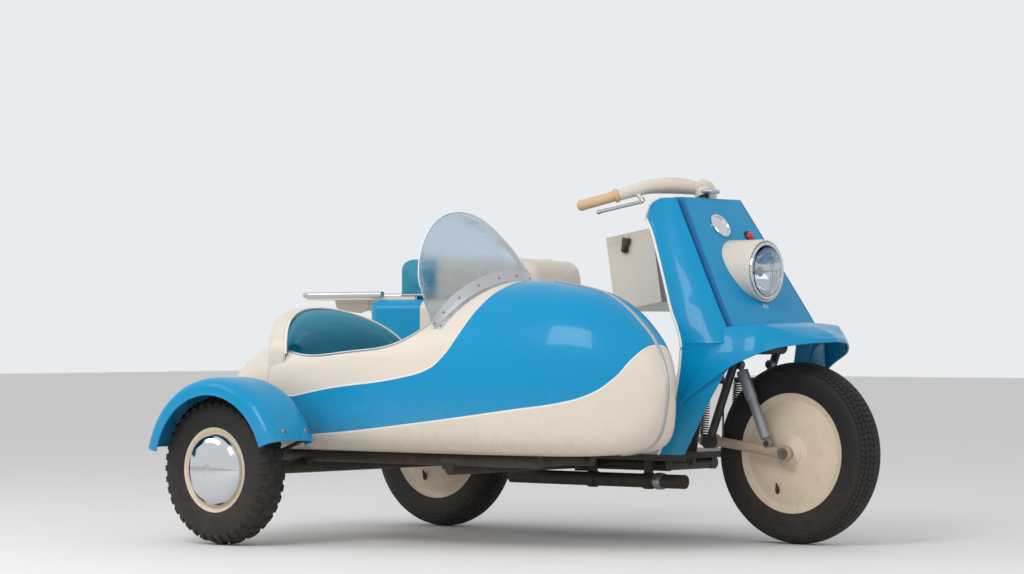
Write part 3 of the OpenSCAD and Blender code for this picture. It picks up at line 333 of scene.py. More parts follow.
two_tone, tree, shader = new_material("two_tone_enamel", **COAT)
xyz = object_xyz(tree)
along = span(tree, xyz["X"], at(SWEEP_X[0], 0, 0).x, at(SWEEP_X[1], 0, 0).x, 0, 1)
height = span(tree, xyz["Z"], SWEEP_Z[0] * MM, SWEEP_Z[1] * MM, 0, 1)
EDGE_SHARP, LINE_HALF, LINE_WHITE = 300, 0.0042, "EFEBE4"
under = step_at(tree, border(tree, along, SWEEP_TOP), height, EDGE_SHARP)
over = step_at(tree, height, border(tree, along, SWEEP_LOW), EDGE_SHARP)
in_sweep = math_node(tree, "MULTIPLY", under, over)


def line_beside(tree, points):
    """A thin pale line along a border: 1 where the height is within LINE_HALF of the curve."""
    apart = math_node(tree, "ABSOLUTE", math_node(tree, "SUBTRACT", border(tree, along, points), height))
    return step_at(tree, LINE_HALF, apart, EDGE_SHARP)


near_edge = math_node(tree, "MAXIMUM", line_beside(tree, SWEEP_TOP), line_beside(tree, SWEEP_LOW))
painted = blend_colour(tree, in_sweep, srgb(CREAM), srgb(BLUE))
painted = blend_colour(tree, near_edge, painted, srgb(LINE_WHITE))
finish_with(tree, shader, place_effect(tree, painted, 0.1, 0.5, 0.36, 0.3, 220), 0.05)
print("two-tone enamel:", len(SWEEP_TOP) + len(SWEEP_LOW), "border points")

# %% [markdown]
# The luggage rack is one solid: a cream pan with a polished tube round its edge. The tube stands above the pan, so
# height alone tells them apart, both for the colour and for how metallic the surface is.

# %% Rack finish
rack_finish, tree, shader = new_material("rack_finish")
RACK_SPLIT, RACK_SHARP, TUBE_GREY = 701.5 * MM, 2000, "C9CCD0"
is_tube = step_at(tree, object_xyz(tree)["Z"], RACK_SPLIT, RACK_SHARP)
tree.links.new(is_tube, shader.inputs["Metallic"])
rack_colour = blend_colour(tree, is_tube, srgb(CREAM), srgb(TUBE_GREY))
finish_with(tree, shader, place_effect(tree, rack_colour, 0.1, 0.1, 0.3, 0.22, 220), 0.04)

# %% [markdown]
# Vinyl has a leather-like grain: small irregular cells with soft creases between them. A Voronoi texture's distance
# gives the creases, and the same cells tint the colour a little. The grain is a group because the seats, the
# seat back and the cream front all use it. Piping and seams are separate geometry.

# %% Vinyl grain
CREASE_WIDE, FADE_SCALE, FADE_TINT, CREASE_TINT, TINT_LOW, GRAIN_BUMP = 0.12, 7, 0.35, 0.1, 0.73, 0.35
grain, g_in, g_out, g_where = effect(
    "vinyl_grain", [("Colour", "NodeSocketColor", (1, 1, 1, 1)), ("Cells", "NodeSocketFloat", 420)],
    [("Colour", "NodeSocketColor"), ("Roughness", "NodeSocketFloat"), ("Height", "NodeSocketFloat")])
(cells,) = graph(grain, "ShaderNodeTexVoronoi")
cells.feature = "DISTANCE_TO_EDGE"
grain.links.new(g_where.outputs["Object"], cells.inputs["Vector"])
grain.links.new(g_in.outputs["Cells"], cells.inputs["Scale"])
crease = span(grain, cells.outputs["Distance"], 0.0, CREASE_WIDE, 0, 1)
fade = noise(grain, g_where.outputs["Object"], FADE_SCALE, 4)
tint = math_node(grain, "MULTIPLY_ADD", crease, CREASE_TINT, TINT_LOW)
tint = math_node(grain, "MULTIPLY_ADD", fade, FADE_TINT, tint)
grain.links.new(blend_colour(grain, 1.0, g_in.outputs["Colour"], tint, "MULTIPLY"), g_out.inputs["Colour"])
grain.links.new(math_node(grain, "MULTIPLY_ADD", fade, 0.25, 0.3), g_out.inputs["Roughness"])
grain.links.new(crease, g_out.inputs["Height"])


def vinyl(name, paint):
    mat, tree, shader = new_material(name)
    (box,) = graph(tree, "ShaderNodeGroup")
    box.node_tree = grain
    feed(tree, box.inputs["Colour"], paint(tree))
    finish_with(tree, shader, box, GRAIN_BUMP, distance=0.0006)
    return mat


def seat_split(tree):
    share = step_at(tree, object_xyz(tree)["X"], at(SEAT_SEAM, 0, 0).x, SEAM_SHARP)
    return blend_colour(tree, share, srgb(TEAL), srgb(SEAT_CREAM))


SEAT_SEAM, SEAM_SHARP, SEAT_CREAM = 80, 400, "D8CDBF"
teal_vinyl = vinyl("teal_vinyl", lambda tree: srgb(TEAL))
seat_vinyl = vinyl("two_tone_vinyl", seat_split)
piping = aged_material("seat_piping", SEAT_CREAM, gloss=0.45, dust=0.05)

# %% [markdown]
# Clear pieces. The windscreen is an old acrylic sheet: hazy and finely scratched. Haze is roughness that varies over
# the sheet. The brightness along its edge is a painted highlight: the edge bead has an opaque pale finish. The lamp
# glass is clean, and its flutes are real geometry, because only geometry bends light the way moulded glass does.

# %% Clear materials
def clear_material(name, colour, clean, hazy, scale, ior):
    mat, tree, shader = new_material(name, Transmission_Weight=1.0, IOR=ior)
    (spot,) = graph(tree, "ShaderNodeTexCoord")
    smear = noise(tree, spot.outputs["Object"], scale, 6, 0.65)
    haze = span(tree, smear, 0.35, 0.7, clean, hazy)
    tree.links.new(haze, shader.inputs["Roughness"])
    darker = tuple(0.9 * c for c in colour[:3]) + (1.0,)
    tree.links.new(blend_colour(tree, smear, colour, darker), shader.inputs["Base Color"])
    return mat


perspex = clear_material("hazy_perspex", srgb("CBD9E4"), 0.05, 0.34, 9, 1.25)
lamp_glass = clear_material("lamp_glass", srgb("F6FAFB"), 0.0, 0.03, 20, 1.45)
print("materials:", len(bpy.data.materials))

# %% [markdown]
# Four ways of making a mesh cover the whole outfit. A ring can be extruded station by station into a hull, like the
# sidecar's body. A grid can be bent over a surface, like the apron. A ring can follow a path, like a bar or a bead.
# And a half section can be spun round an axis, like a lens or a screw. All four start from one of bmesh's own shapes.

# %% Mesh helpers
def loft(bm, count, stations, place):
    mark = bm.verts.layers.int.get("mark") or bm.verts.layers.int.new("mark")
    row = bmesh.ops.create_circle(bm, segments=count, radius=1)["verts"]
    for k, v in enumerate(row):
        v[mark] = k
        v.co = place(stations[0], k)
    edges = list({e for v in row for e in v.link_edges})
    first = edges
    for station in stations[1:]:
        grown = bmesh.ops.extrude_edge_only(bm, edges=edges)["geom"]
        row = {g for g in grown if isinstance(g, bmesh.types.BMVert)}
        edges = [g for g in grown if isinstance(g, bmesh.types.BMEdge) and set(g.verts) <= row]
        for v in row:
            v.co = place(station, v[mark])
    return first, edges


def capped(bm, count, stations, place):
    for loop in loft(bm, count, stations, place):
        bmesh.ops.contextual_create(bm, geom=loop)


def surface(bm, across, along, place):
    for v in bmesh.ops.create_grid(bm, x_segments=across, y_segments=along, size=0.5)["verts"]:
        v.co = place(v.co.x + 0.5, v.co.y + 0.5)


def tube(bm, path, radius, count=12, closed=False, flat=1.0):
    sizes = radius if isinstance(radius, list) else [radius] * len(path)
    line = [Vector(p) for p in path]
    n = len(line)
    up = Vector((0, 0, 1))
    frames = []  # at each point: the point, two directions across the path, and the radius
    for i, p in enumerate(line):
        ahead = line[(i + 1) % n] if closed else line[min(i + 1, n - 1)]
        behind = line[i - 1] if closed or i else line[0]
        d = (ahead - behind).normalized()
        side = d.cross(up)
        side = side.normalized() if side.length > 0.05 else d.cross(Vector((1, 0, 0))).normalized()
        frames.append((p, side, side.cross(d), sizes[i]))

    def spot(f, k):
        a = 2 * math.pi * k / count
        return f[0] + f[3] * (math.cos(a) * f[1] + flat * math.sin(a) * f[2])

    first, last = loft(bm, count, frames, spot)
    if closed:
        bmesh.ops.bridge_loops(bm, edges=first + last)
    else:
        for loop in (first, last):
            bmesh.ops.contextual_create(bm, geom=loop)


def turned(bm, profile, origin, axis, steps=32):
    axis = Vector(axis).normalized()
    side = axis.orthogonal().normalized()
    verts = [bm.verts.new(Vector(origin) + float(r * MM) * side + float(h * MM) * axis) for r, h in profile]
    edges = [bm.edges.new(pair) for pair in zip(verts, verts[1:])]
    bmesh.ops.spin(bm, geom=verts + edges, cent=origin, axis=axis, angle=2 * math.pi, steps=steps, use_merge=True)


def block(bm, centre, size, turn=Matrix.Identity(4)):
    bmesh.ops.create_cube(bm, size=1, matrix=Matrix.Translation(centre) @ turn @ Matrix.Diagonal((*size, 1)))


def rounded(bm, edges, offset, segments):
    bmesh.ops.bevel(bm, geom=edges, offset=offset, segments=segments, profile=0.5, affect="EDGES", material=-1)


WELD = 0.00002


def finish_mesh(bm):
    bmesh.ops.remove_doubles(bm, verts=bm.verts, dist=WELD)
    bmesh.ops.dissolve_degenerate(bm, edges=bm.edges, dist=WELD / 2)
    bmesh.ops.recalc_face_normals(bm, faces=bm.faces)


def thickened(bm, thick, outward):
    """Turn a sheet's faces outward and give it its thickness, on the inside."""
    finish_mesh(bm)
    if sum(f.normal.dot(outward) for f in bm.faces) < 0:
        bmesh.ops.reverse_faces(bm, faces=bm.faces)
    bmesh.ops.solidify(bm, geom=bm.faces, thickness=thick * MM)


def piece(name, bm, body, mats, stands_for=(), crease=40, recalc=True):
    if recalc:
        finish_mesh(bm)
    mesh = bpy.data.meshes.new(name)
    bm.to_mesh(mesh)
    bm.free()
    for mat in mats if isinstance(mats, list) else [mats]:
        mesh.materials.append(mat)
    mesh.shade_smooth()
    mesh.set_sharp_from_angle(angle=math.radians(crease))
    made = bpy.data.objects.new(name, mesh)
    scene.collection.objects.link(made)
    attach(made, body)
    if stands_for:
        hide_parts(*stands_for)
    print(f"{name}: {len(mesh.polygons)} faces on {body}")
    return made


def bake_modifiers(made):
    mesh = bpy.data.meshes.new_from_object(made.evaluated_get(bpy.context.evaluated_depsgraph_get()))
    made.modifiers.clear()
    made.data = mesh


def tree_of(made):
    return BVHTree.FromObject(made, bpy.context.evaluated_depsgraph_get())


def smooth_rows(rows, steps):
    """Rows of numbers made finer, on a smooth curve that never overshoots its points."""
    table = np.array(rows, float)
    t = np.arange(len(table), dtype=float)
    fine = np.linspace(0, len(table) - 1, steps * (len(table) - 1) + 1)
    slope = np.diff(table, axis=0)
    same = slope[:-1] * slope[1:] > 0
    mid = np.where(same, 2 * slope[:-1] * slope[1:] / np.where(same, slope[:-1] + slope[1:], 1), 0)
    m = np.vstack([slope[:1], mid, slope[-1:]])
    i = np.minimum(fine.astype(int), len(table) - 2)
    u = (fine - t[i])[:, None]
    a, b = table[i], table[i + 1]
    return ((2 * u**3 - 3 * u**2 + 1) * a + (u**3 - 2 * u**2 + u) * m[i]
            + (3 * u**2 - 2 * u**3) * b + (u**3 - u**2) * m[i + 1])


def dress(mat, *names):
    for name in names:
        mesh = nodes[name].data
        mesh.materials.clear()
        mesh.materials.append(mat)


print("helpers ready")

# %% [markdown]
# The sidecar's shell is a light boat-like hull. Its solid has eighteen stations joined by straight facets; here a
# smooth curve runs through the same stations, and a ring of points is extruded from one to the next. Each ring is a
# superellipse, rounder above its widest point and squarer below. The shell then gets its wall, and the cockpit is
# cut out of it with a Boolean, which is the cleanest way to cut a round hole across a curved grid.

# %% Sidecar stations
SIDE_Y, SIDE_HW, SIDE_BOTTOM, SIDE_T, SIDE_SEAM = 610, 281, 256, 6, 94
ROUND_UP, ROUND_LOW, RING = 2.25, 5, 96
STATIONS = [  # x, share of the half width, top, rise of the bottom, height of the widest point
    [-228, 0.16, 392, 66, 345], [-212, 0.42, 432, 34, 352], [-158, 0.66, 474, 12, 372], [-62, 0.85, 556, 2, 400],
    [40, 0.94, 596, 0, 420], [94, 0.965, 614, 0, 428], [240, 0.99, 652, 0, 436], [420, 1, 688, 0, 440],
    [600, 0.985, 716, 0, 442], [760, 0.94, 732, 0, 444], [880, 0.875, 732, 0, 446], [1000, 0.77, 718, 1, 448],
    [1085, 0.67, 700, 3, 450], [1150, 0.57, 669, 7, 452], [1210, 0.455, 622, 16, 452], [1258, 0.325, 571, 40, 450],
    [1286, 0.20, 518, 88, 448], [1301, 0.06, 466, 160, 446]]
fine_stations = smooth_rows(STATIONS, 6)


def station_at(x):
    return [np.interp(x, fine_stations[:, 0], fine_stations[:, k]) for k in range(5)]


def power(value, n):
    return math.copysign(abs(value) ** (2 / n), value)


def ring_point(s, k):
    a = 2 * math.pi * k / RING
    c, q = math.cos(a), math.sin(a)
    n = ROUND_UP if q >= 0 else ROUND_LOW
    reach = s[2] - s[4] if q >= 0 else s[4] - SIDE_BOTTOM - s[3]
    return at(s[0], SIDE_HW * s[1] * power(c, n) - SIDE_Y, s[4] + reach * power(q, n))


def deck_z(x, e):
    s = station_at(x)
    return s[4] + (s[2] - s[4]) * max(0.0, 1 - (abs(e) / (SIDE_HW * s[1])) ** ROUND_UP) ** (1 / ROUND_UP)


print("stations made finer:", len(fine_stations))

# %% Cockpit cutter and shell
PIT_BACK, PIT_FRONT, PIT_HW, PIT_ROUND, PIT_FLOOR = 37, 752, 264, 3.4, 440
PIT_POINTS, CUTTER_H, SEAM_HALF = 96, 500, 0.7


def pit_point(k):
    a = 2 * math.pi * k / PIT_POINTS
    x = (PIT_BACK + PIT_FRONT) / 2 + (PIT_FRONT - PIT_BACK) / 2 * power(math.cos(a), PIT_ROUND)
    return x, PIT_HW * power(math.sin(a), PIT_ROUND)


def hull_piece(name, stations, mats, stands_for):
    bm = bmesh.new()
    ends = loft(bm, RING, stations, ring_point)
    for edges, tip in zip(ends, (stations[0][0] < STATIONS[1][0], stations[-1][0] > STATIONS[-2][0])):
        if tip:
            bmesh.ops.contextual_create(bm, geom=edges)
    finish_mesh(bm)
    if sum(f.calc_center_median().dot(f.normal) for f in bm.faces if f.normal.z > 0.9) < 0:
        bmesh.ops.reverse_faces(bm, faces=bm.faces)
    bmesh.ops.solidify(bm, geom=bm.faces, thickness=SIDE_T * MM)
    made = piece(name, bm, "chassis", mats, stands_for, recalc=False)
    cutter_bm = bmesh.new()
    capped(cutter_bm, PIT_POINTS, [PIT_FLOOR, PIT_FLOOR + CUTTER_H],
           lambda z, k: at(*pit_point(k), z) - Vector((0, SIDE_Y * MM, 0)))
    finish_mesh(cutter_bm)
    cutter_mesh = bpy.data.meshes.new("pit_cutter")
    cutter_bm.to_mesh(cutter_mesh)
    cutter_bm.free()
    cutter = bpy.data.objects.new("pit_cutter", cutter_mesh)
    scene.collection.objects.link(cutter)
    cut = made.modifiers.new("cockpit", "BOOLEAN")
    cut.operation, cut.solver, cut.object = "DIFFERENCE", "EXACT", cutter
    bake_modifiers(made)
    bpy.data.objects.remove(cutter)
    line_inside(made)
    made.data.shade_smooth()
    made.data.set_sharp_from_angle(angle=math.radians(40))
    print(name, "cut:", len(made.data.polygons), "faces")


def line_inside(made):
    """Faces whose normal points to the hull's own axis take the second material, the lining."""
    for face in made.data.polygons:
        mid_z = station_at(face.center.x / MM + X_MID)[4]
        axis = Vector((face.center.x, at(0, -SIDE_Y, 0).y, mid_z * MM))
        face.material_index = 1 if (face.center - axis).dot(face.normal) < -0.002 else 0


body_rows = [r for r in fine_stations if r[0] > SIDE_SEAM + 2]
tail_rows = [r for r in fine_stations if r[0] < SIDE_SEAM - 2]
hull_piece("sidecar_shell", [station_at(SIDE_SEAM + SEAM_HALF)] + body_rows, [two_tone, lining], ["sidecar_body"])
hull_piece("sidecar_tail_shell", tail_rows + [station_at(SIDE_SEAM - SEAM_HALF)], [cream_paint, lining],
           ["sidecar_tail"])

# %% [markdown]
# The cockpit's edge is rolled over a thin beading. It follows the cut: the same plan curve, lifted to the height of
# the deck at each of its points. It is a tube along a closed path, a little proud of the paint.

# %% Cockpit beading
BEAD_R = 3.6
rim_line = [pit_point(k) for k in range(PIT_POINTS)]
bm = bmesh.new()
tube(bm, [at(x, e - SIDE_Y, deck_z(x, e) - 1) for x, e in rim_line], BEAD_R * MM, 10, closed=True)
piece("cockpit_bead", bm, "chassis", alloy)

# %% [markdown]
# Behind the cockpit a raised arch rises from the deck like a collar, cream outside, with the upholstery inside it.
# It is a thick sheet: a grid bent over the arch's top line, from its front edge over the crown to its back, with
# its lower ends sunk a little into the deck so that no gap shows from any side.

# %% Arch behind the cockpit
ARCH_HW, ARCH_SWEEP, ARCH_Z, ARCH_BASE, ARCH_SUNK, ARCH_T = 260, 116, 665, 520, 8, 5


def arch_front(e):
    return PIT_BACK + ARCH_SWEEP * (e / ARCH_HW) ** 2


def arch_top(e):
    return ARCH_BASE + (ARCH_Z - ARCH_BASE) * math.sqrt(max(0.0, 1 - 0.99 * (e / ARCH_HW) ** 2))


# The collar's section: how far back, and how far below the top line
ARCH_LINE = [(0, -30), (0, -8), (1.5, -3), (6, -0.5), (20, 0), (42, -2), (56, -6), (64, -12), (68, -20)]


def arch_point(u, v):
    e = ARCH_HW * math.sin(math.pi * (u - 0.5))
    back, drop = (np.interp(v * (len(ARCH_LINE) - 1), range(len(ARCH_LINE)), col) for col in zip(*ARCH_LINE))
    x = arch_front(e) - back
    floor_z = deck_z(x, e) - ARCH_SUNK
    top = arch_top(e)
    z = max(floor_z, top + drop) if v < 0.9 else min(floor_z, top + drop)
    return at(x, e - SIDE_Y, min(z, floor_z) if abs(2 * u - 1) > 0.97 else z)


bm = bmesh.new()
surface(bm, 64, 24, arch_point)
thickened(bm, ARCH_T, Vector((0, 0, 1)))
piece("sidecar_collar", bm, "chassis", cream_paint, ["sidecar_arch"], recalc=False)

# %% [markdown]
# The windscreen is one acrylic sheet, bent round the cowl and leaning back, held by a clamp strip with round-headed
# screws. A grid is bent over the same formula that the solid uses, and then thickened. The strip below it is
# another grid on the first few centimetres of that surface, and the screws sit along its middle line.

# %% Windscreen sheet
FOOT_MID, FOOT_SIDE, SCREEN_HW = 792, 690, 236
SCREEN_TOP, SCREEN_SIDE, SCREEN_BULGE, SCREEN_T = (580, 928), (637, 716), 10, 4
SCREEN_REACH, SCREEN_EDGE_R = 0.999, 2.4


def screen_foot(c):
    s = math.sin(math.pi / 2 * c)
    x = FOOT_MID - (FOOT_MID - FOOT_SIDE) * s * s
    return Vector((x, SCREEN_HW * s, deck_z(x, SCREEN_HW * s)))


def screen_edge(c):
    k = abs(math.cos(math.pi / 2 * c)) ** 1.15
    return Vector((SCREEN_SIDE[0] + (SCREEN_TOP[0] - SCREEN_SIDE[0]) * k, SCREEN_HW * math.sin(math.pi / 2 * c),
                   SCREEN_SIDE[1] + (SCREEN_TOP[1] - SCREEN_SIDE[1]) * k))


def screen_out(c):
    a = math.radians(70 * c)
    return Vector((0.68 * math.cos(a), math.sin(a), 0.73 * math.cos(a)))


def screen_at(c, r, d):
    p = screen_foot(c) * (1 - r) + screen_edge(c) * r
    p += screen_out(c) * (SCREEN_BULGE * 4 * max(0, r) * (1 - r) + d)
    return at(p.x, p.y - SIDE_Y, p.z)


def bent_sheet(name, across, along, low, high, out, thick, mat, stands_for=(), reach=1.0):
    bm = bmesh.new()
    surface(bm, across, along, lambda u, v: screen_at(reach * (2 * u - 1), low + (high - low) * v, out))
    thickened(bm, thick, Vector((1, 0, 0)))
    piece(name, bm, "chassis", mat, stands_for, recalc=False)


bent_sheet("windscreen_sheet", 72, 30, -0.03, 1, 0, SCREEN_T, perspex, ["windscreen"], SCREEN_REACH)
# The edge bead is opaque and pale: a painted highlight along the sheet's edge.
bm = bmesh.new()
tube(bm, [screen_at(c, 1, -SCREEN_T / 2) for c in np.linspace(-SCREEN_REACH, SCREEN_REACH, 73)],
     SCREEN_EDGE_R * MM, 8)
piece("windscreen_edge", bm, "chassis", perspex_edge_highlight)

# %% Clamp strips and their screws
STRIP_OUT, STRIP_MID, LOW_OUT, LOW_FROM, LOW_WIDE, SCREWS = 3.2, 0.055, 1.4, 6, 18, 11
STRIP_T, LOW_T, SCREW_FROM, SCREW_STEP = 2.6, 2.5, -0.9, 0.18
bent_sheet("clamp_strip", 64, 4, -0.02, 0.13, STRIP_OUT, STRIP_T, alloy, ["windscreen_strip"], 0.985)


def deck_point(c, ahead):
    """A point just above the deck, ahead of the windscreen's foot, and the deck's normal there."""
    s = math.sin(math.pi / 2 * c)
    x = FOOT_MID + ahead - (FOOT_MID - FOOT_SIDE) * s * s
    e = SCREEN_HW * s
    rise_x, rise_e = deck_z(x + 2, e) - deck_z(x - 2, e), deck_z(x, e + 2) - deck_z(x, e - 2)
    slope = Vector((-rise_x / 4, -rise_e / 4, 1)).normalized()
    return at(x, e - SIDE_Y, deck_z(x, e)) + slope * LOW_OUT * MM, slope


bm = bmesh.new()
surface(bm, 64, 3, lambda u, v: deck_point(0.96 * (2 * u - 1), LOW_FROM + LOW_WIDE * v)[0])
thickened(bm, LOW_T, Vector((0, 0, 1)))
piece("deck_strip", bm, "chassis", alloy, recalc=False)

SCREW = [(0, 2.6), (1.6, 2.4), (3.2, 1.4), (3.9, 0), (3.9, -1)]
bm = bmesh.new()
for i in range(SCREWS):
    c = SCREW_FROM + SCREW_STEP * i
    turned(bm, SCREW, screen_at(c, STRIP_MID, STRIP_OUT), screen_out(c), 12)
    spot, slope = deck_point(c * 0.97, LOW_FROM + LOW_WIDE / 2)
    turned(bm, SCREW, spot, slope, 12)
piece("strip_screws", bm, "chassis", steel)

# %% [markdown]
# A narrow bright strip covers the joint between the two halves of the nose. It runs down the middle line from the
# cowl, round the tip and back under the hull, so it is a flattened tube along that line.

# %% Nose strip
NOSE_FROM, KEEL_FROM, NOSE_TIP, NOSE_HW, NOSE_T = 905, 1140, (1301.5, 441), 7, 3
nose = [s for s in fine_stations if s[0] > NOSE_FROM]
ridge = [at(s[0], -SIDE_Y, s[2] + 0.5) for s in nose]
keel = [at(s[0], -SIDE_Y, SIDE_BOTTOM + s[3] - 0.5) for s in reversed(nose) if s[0] > KEEL_FROM]
line = ridge + [at(NOSE_TIP[0], -SIDE_Y, NOSE_TIP[1])] + keel


def across_strip(f, k):
    a = 2 * math.pi * k / 10
    return f[0] + Vector((0, NOSE_HW * MM * math.cos(a), 0)) + f[1] * NOSE_T * MM * math.sin(a)


nose_frames = []
for i, p in enumerate(line):
    d = line[min(i + 1, len(line) - 1)] - line[max(i - 1, 0)]
    nose_frames.append((p, Vector((-d.z, 0, d.x)).normalized()))
bm = bmesh.new()
capped(bm, 10, nose_frames, across_strip)
piece("nose_trim", bm, "chassis", alloy, ["nose_strip"], crease=60)

# %% [markdown]
# The apron is the scooter's face: a flat raised panel between two wings that sweep back to the rider, cheeks beside
# the wheel, and a fixed beak over it. Each is a sheet, so each is a grid bent over a few measured rows. A smooth
# curve through the rows takes the place of the solid's facets, and rounded corners are sampled along the section.

# %% Wings and raised panel
APRON_T, PANEL_RAKE, PANEL_TOP = 4.4, math.radians(31), (1009, 975)
WING_FOOT, PANEL_FOOT = 0.995, 0.855
# Rows of the wings: height, rear edge x, rear half width, half width of the panel, drop of the rounded corner
APRON = [[975, 905, 176, 148, 60], [925, 930, 200, 158, 22], [850, 968, 222, 172, 0], [768, 1010, 245, 188, 0],
         [700, 1042, 262, 200, 0], [654, 1065, 275, 208, 0], [605, 1092, 283, 214, 0], [560, 1108, 286, 219, 0]]
# Rows of the cheeks: height, rear edge x and half width, front edge x and half width
CHEEK = [[560, 1108, 286, 1242, 218], [505, 1102, 284, 1238, 236], [455, 1090, 278, 1214, 250],
         [390, 1070, 270, 1176, 256], [320, 1044, 262, 1137, 256], [250, 1008, 255, 1094, 254]]
PANEL_STEP, GROOVE_OUT, WING_BOW, CHEEK_BOW = 12, 10, 9, 10


def panel_x(z):
    return PANEL_TOP[0] + (PANEL_TOP[1] - z) * math.tan(PANEL_RAKE)


def rows_at(table, share):
    i = min(int(share * (len(table) - 1)), len(table) - 2)
    u = share * (len(table) - 1) - i
    return table[i] * (1 - u) + table[i + 1] * u


apron_rows = smooth_rows(APRON, 6)
cheek_rows = smooth_rows(CHEEK, 6)
# Share along the half section from the rear edge to the middle, and what is ahead of and inside the groove's lip
WING_END, CORNER = 0.8, 0.55
GROOVE = [[0.8, 0, 0], [0.808, -1.5, -2], [0.82, -14, -4], [0.845, -15, -20], [0.86, -4, -22], [0.87, 9, -22.6],
          [0.878, 11.5, -24], [0.89, 12, -28]]
SECTION = [0, 0.04, 0.12, 0.25, 0.4, 0.55, 0.68, 0.76] + [g[0] for g in GROOVE] + [0.95, 1.0]


def apron_half(r, u):
    z, edge_x, edge_hw, panel_hw, drop = r
    foot_x, foot_y = panel_x(z) - PANEL_STEP, panel_hw + GROOVE_OUT
    if u < WING_END:
        t = u / WING_END
        bow = WING_BOW * math.sin(math.pi * t) ** 0.8
        corner = 1 - min(1, t / CORNER)
        x = edge_x + (foot_x - edge_x) * (t + 0.12 * math.sin(math.pi * t))
        y = edge_hw + (foot_y - edge_hw) * t ** 1.15 + bow * 0.6
        return Vector((x, y, z - drop * (1 - math.sqrt(1 - corner * corner))))
    shares, ahead, inside = zip(*GROOVE)
    shares, ahead, inside = shares + (1.0,), ahead + (PANEL_STEP,), inside + (-foot_y,)
    return Vector((foot_x + np.interp(u, shares, ahead), foot_y + np.interp(u, shares, inside), z))


def foot_share(u):
    """The wings reach down to the cheeks; the panel ends under the beak, clear of the turning fork."""
    return float(np.interp(u, (WING_END, 0.86), (WING_FOOT, PANEL_FOOT)))


def mirrored(half, columns):
    steps = columns + [1 - (c - 1) for c in reversed(columns[:-1])]

    def place(u, v):
        s = steps[min(int(round(u * (len(steps) - 1))), len(steps) - 1)]
        right = s <= 1
        p = half(s if right else 2 - s, v)
        return at(p.x, -p.y if right else p.y, p.z)

    return place, len(steps) - 1


bm = bmesh.new()
place, cols = mirrored(lambda u, v: apron_half(rows_at(apron_rows, v * foot_share(u)), u), SECTION)
surface(bm, cols, 56, place)
thickened(bm, APRON_T, Vector((1, 0, 0)))
leg_shield = piece("leg_shield", bm, "chassis", [blue_paint, groove_painted_shade], ["apron"], crease=50,
                   recalc=False)
# Faces inside the groove between wing and panel take the second slot, the darker blue: painted shade in the recess.
GROOVE_FROM, GROOVE_TO = 23, 1.5
for face in leg_shield.data.polygons:
    y, z = abs(face.center.y / MM + Y_MID), face.center.z / MM
    foot_y = np.interp(-z, -apron_rows[:, 0], apron_rows[:, 3]) + GROOVE_OUT
    face.material_index = 1 if foot_y - GROOVE_FROM < y < foot_y - GROOVE_TO and face.normal.x > -0.5 else 0

# %% Cheeks beside the wheel
def both_halves(name, across, along, half, outward, thick=APRON_T):
    """A right half sheet and its mirror image, in one mesh."""
    bm = bmesh.new()
    surface(bm, across, along, lambda u, v: at(*half(u, v)))
    thickened(bm, thick, outward)
    bmesh.ops.mirror(bm, geom=bm.verts[:] + bm.edges[:] + bm.faces[:], axis="Y", merge_dist=0.0001,
                     matrix=Matrix.Translation(-at(0, 0, 0)))
    piece(name, bm, "chassis", blue_paint, crease=55, recalc=False)


def cheek_at(u, v):
    z, edge_x, edge_hw, front_x, front_hw = rows_at(cheek_rows, v)
    bow = CHEEK_BOW * math.sin(math.pi * u)
    own = Vector((edge_x + (front_x - edge_x) * u, edge_hw + (front_hw - edge_hw) * u + bow, z))
    above = apron_half(rows_at(apron_rows, WING_FOOT), u * 0.799)
    keep = max(0.0, 1 - v / 0.2) ** 2
    p = own + (above - own) * keep
    return p.x, -p.y, p.z


both_halves("apron_cheeks", 14, 40, cheek_at, Vector((0, -1, 0)))

# %% [markdown]
# The beak starts at the panel's foot and juts out over the wheel. A soft crease leaves the panel's groove and runs
# forward to the lip, and the side below the crease flares out and sweeps back to a point on the cheek. The crease
# and the lip are measured lines, so the side is a strip between them and the top is a strip from crease to ridge.

# %% Beak over the front wheel
LIP = [[1103, 284, 391], [1180, 274, 446], [1256, 252, 500], [1318, 227, 530], [1350, 190, 546], [1382, 140, 556],
       [1420, 70, 563], [1438, 0, 566]]
CREASE = [[1103, 285, 396], [1166, 268, 520], [1222, 226, 606], [1302, 198, 611], [1336, 163, 604],
          [1366, 118, 590], [1404, 60, 581], [1424, 0, 579]]
RIDGE = [[1222, 0, 622], [1222, 0, 622], [1224, 0, 622], [1292, 0, 620], [1338, 0, 612], [1378, 0, 602],
         [1408, 0, 590], [1424, 0, 579]]
lip_rows, crease_rows, ridge_rows = (smooth_rows(t, 8) for t in (LIP, CREASE, RIDGE))
TOP_FROM, FLARE_BOW, TOP_CROWN, BEAK_T, EDGE_R = 2 / 7, 7, 9, 4, 4.2


def flare_at(u, v):
    low, high = rows_at(lip_rows, v), rows_at(crease_rows, v)
    bow = FLARE_BOW * math.sin(math.pi * u) * min(1, 6 * v)
    p = low + (high - low) * u
    return p[0] + 0.4 * bow * v, -p[1] - bow * (1 - v), p[2] + 0.3 * bow


def top_at(u, v):
    share = TOP_FROM + (1 - TOP_FROM) * v
    high, mid = rows_at(crease_rows, share), rows_at(ridge_rows, share)
    p = high + (mid - high) * u
    crown = TOP_CROWN * math.sin(math.pi / 2 * u) * (1 - v)
    return p[0], -p[1], p[2] + crown * (1 - u)


both_halves("beak_flare", 10, 64, flare_at, Vector((0.3, -1, 0)), BEAK_T)
both_halves("beak_top", 24, 48, top_at, Vector((0, 0, 1)), BEAK_T)

# %% [markdown]
# A white bead finishes the leg shield's rear edges and the tops of its wings. Both are tubes along an edge of the
# sheets made above, so they can't drift from the metal they cover. The badge on the panel is left blank.

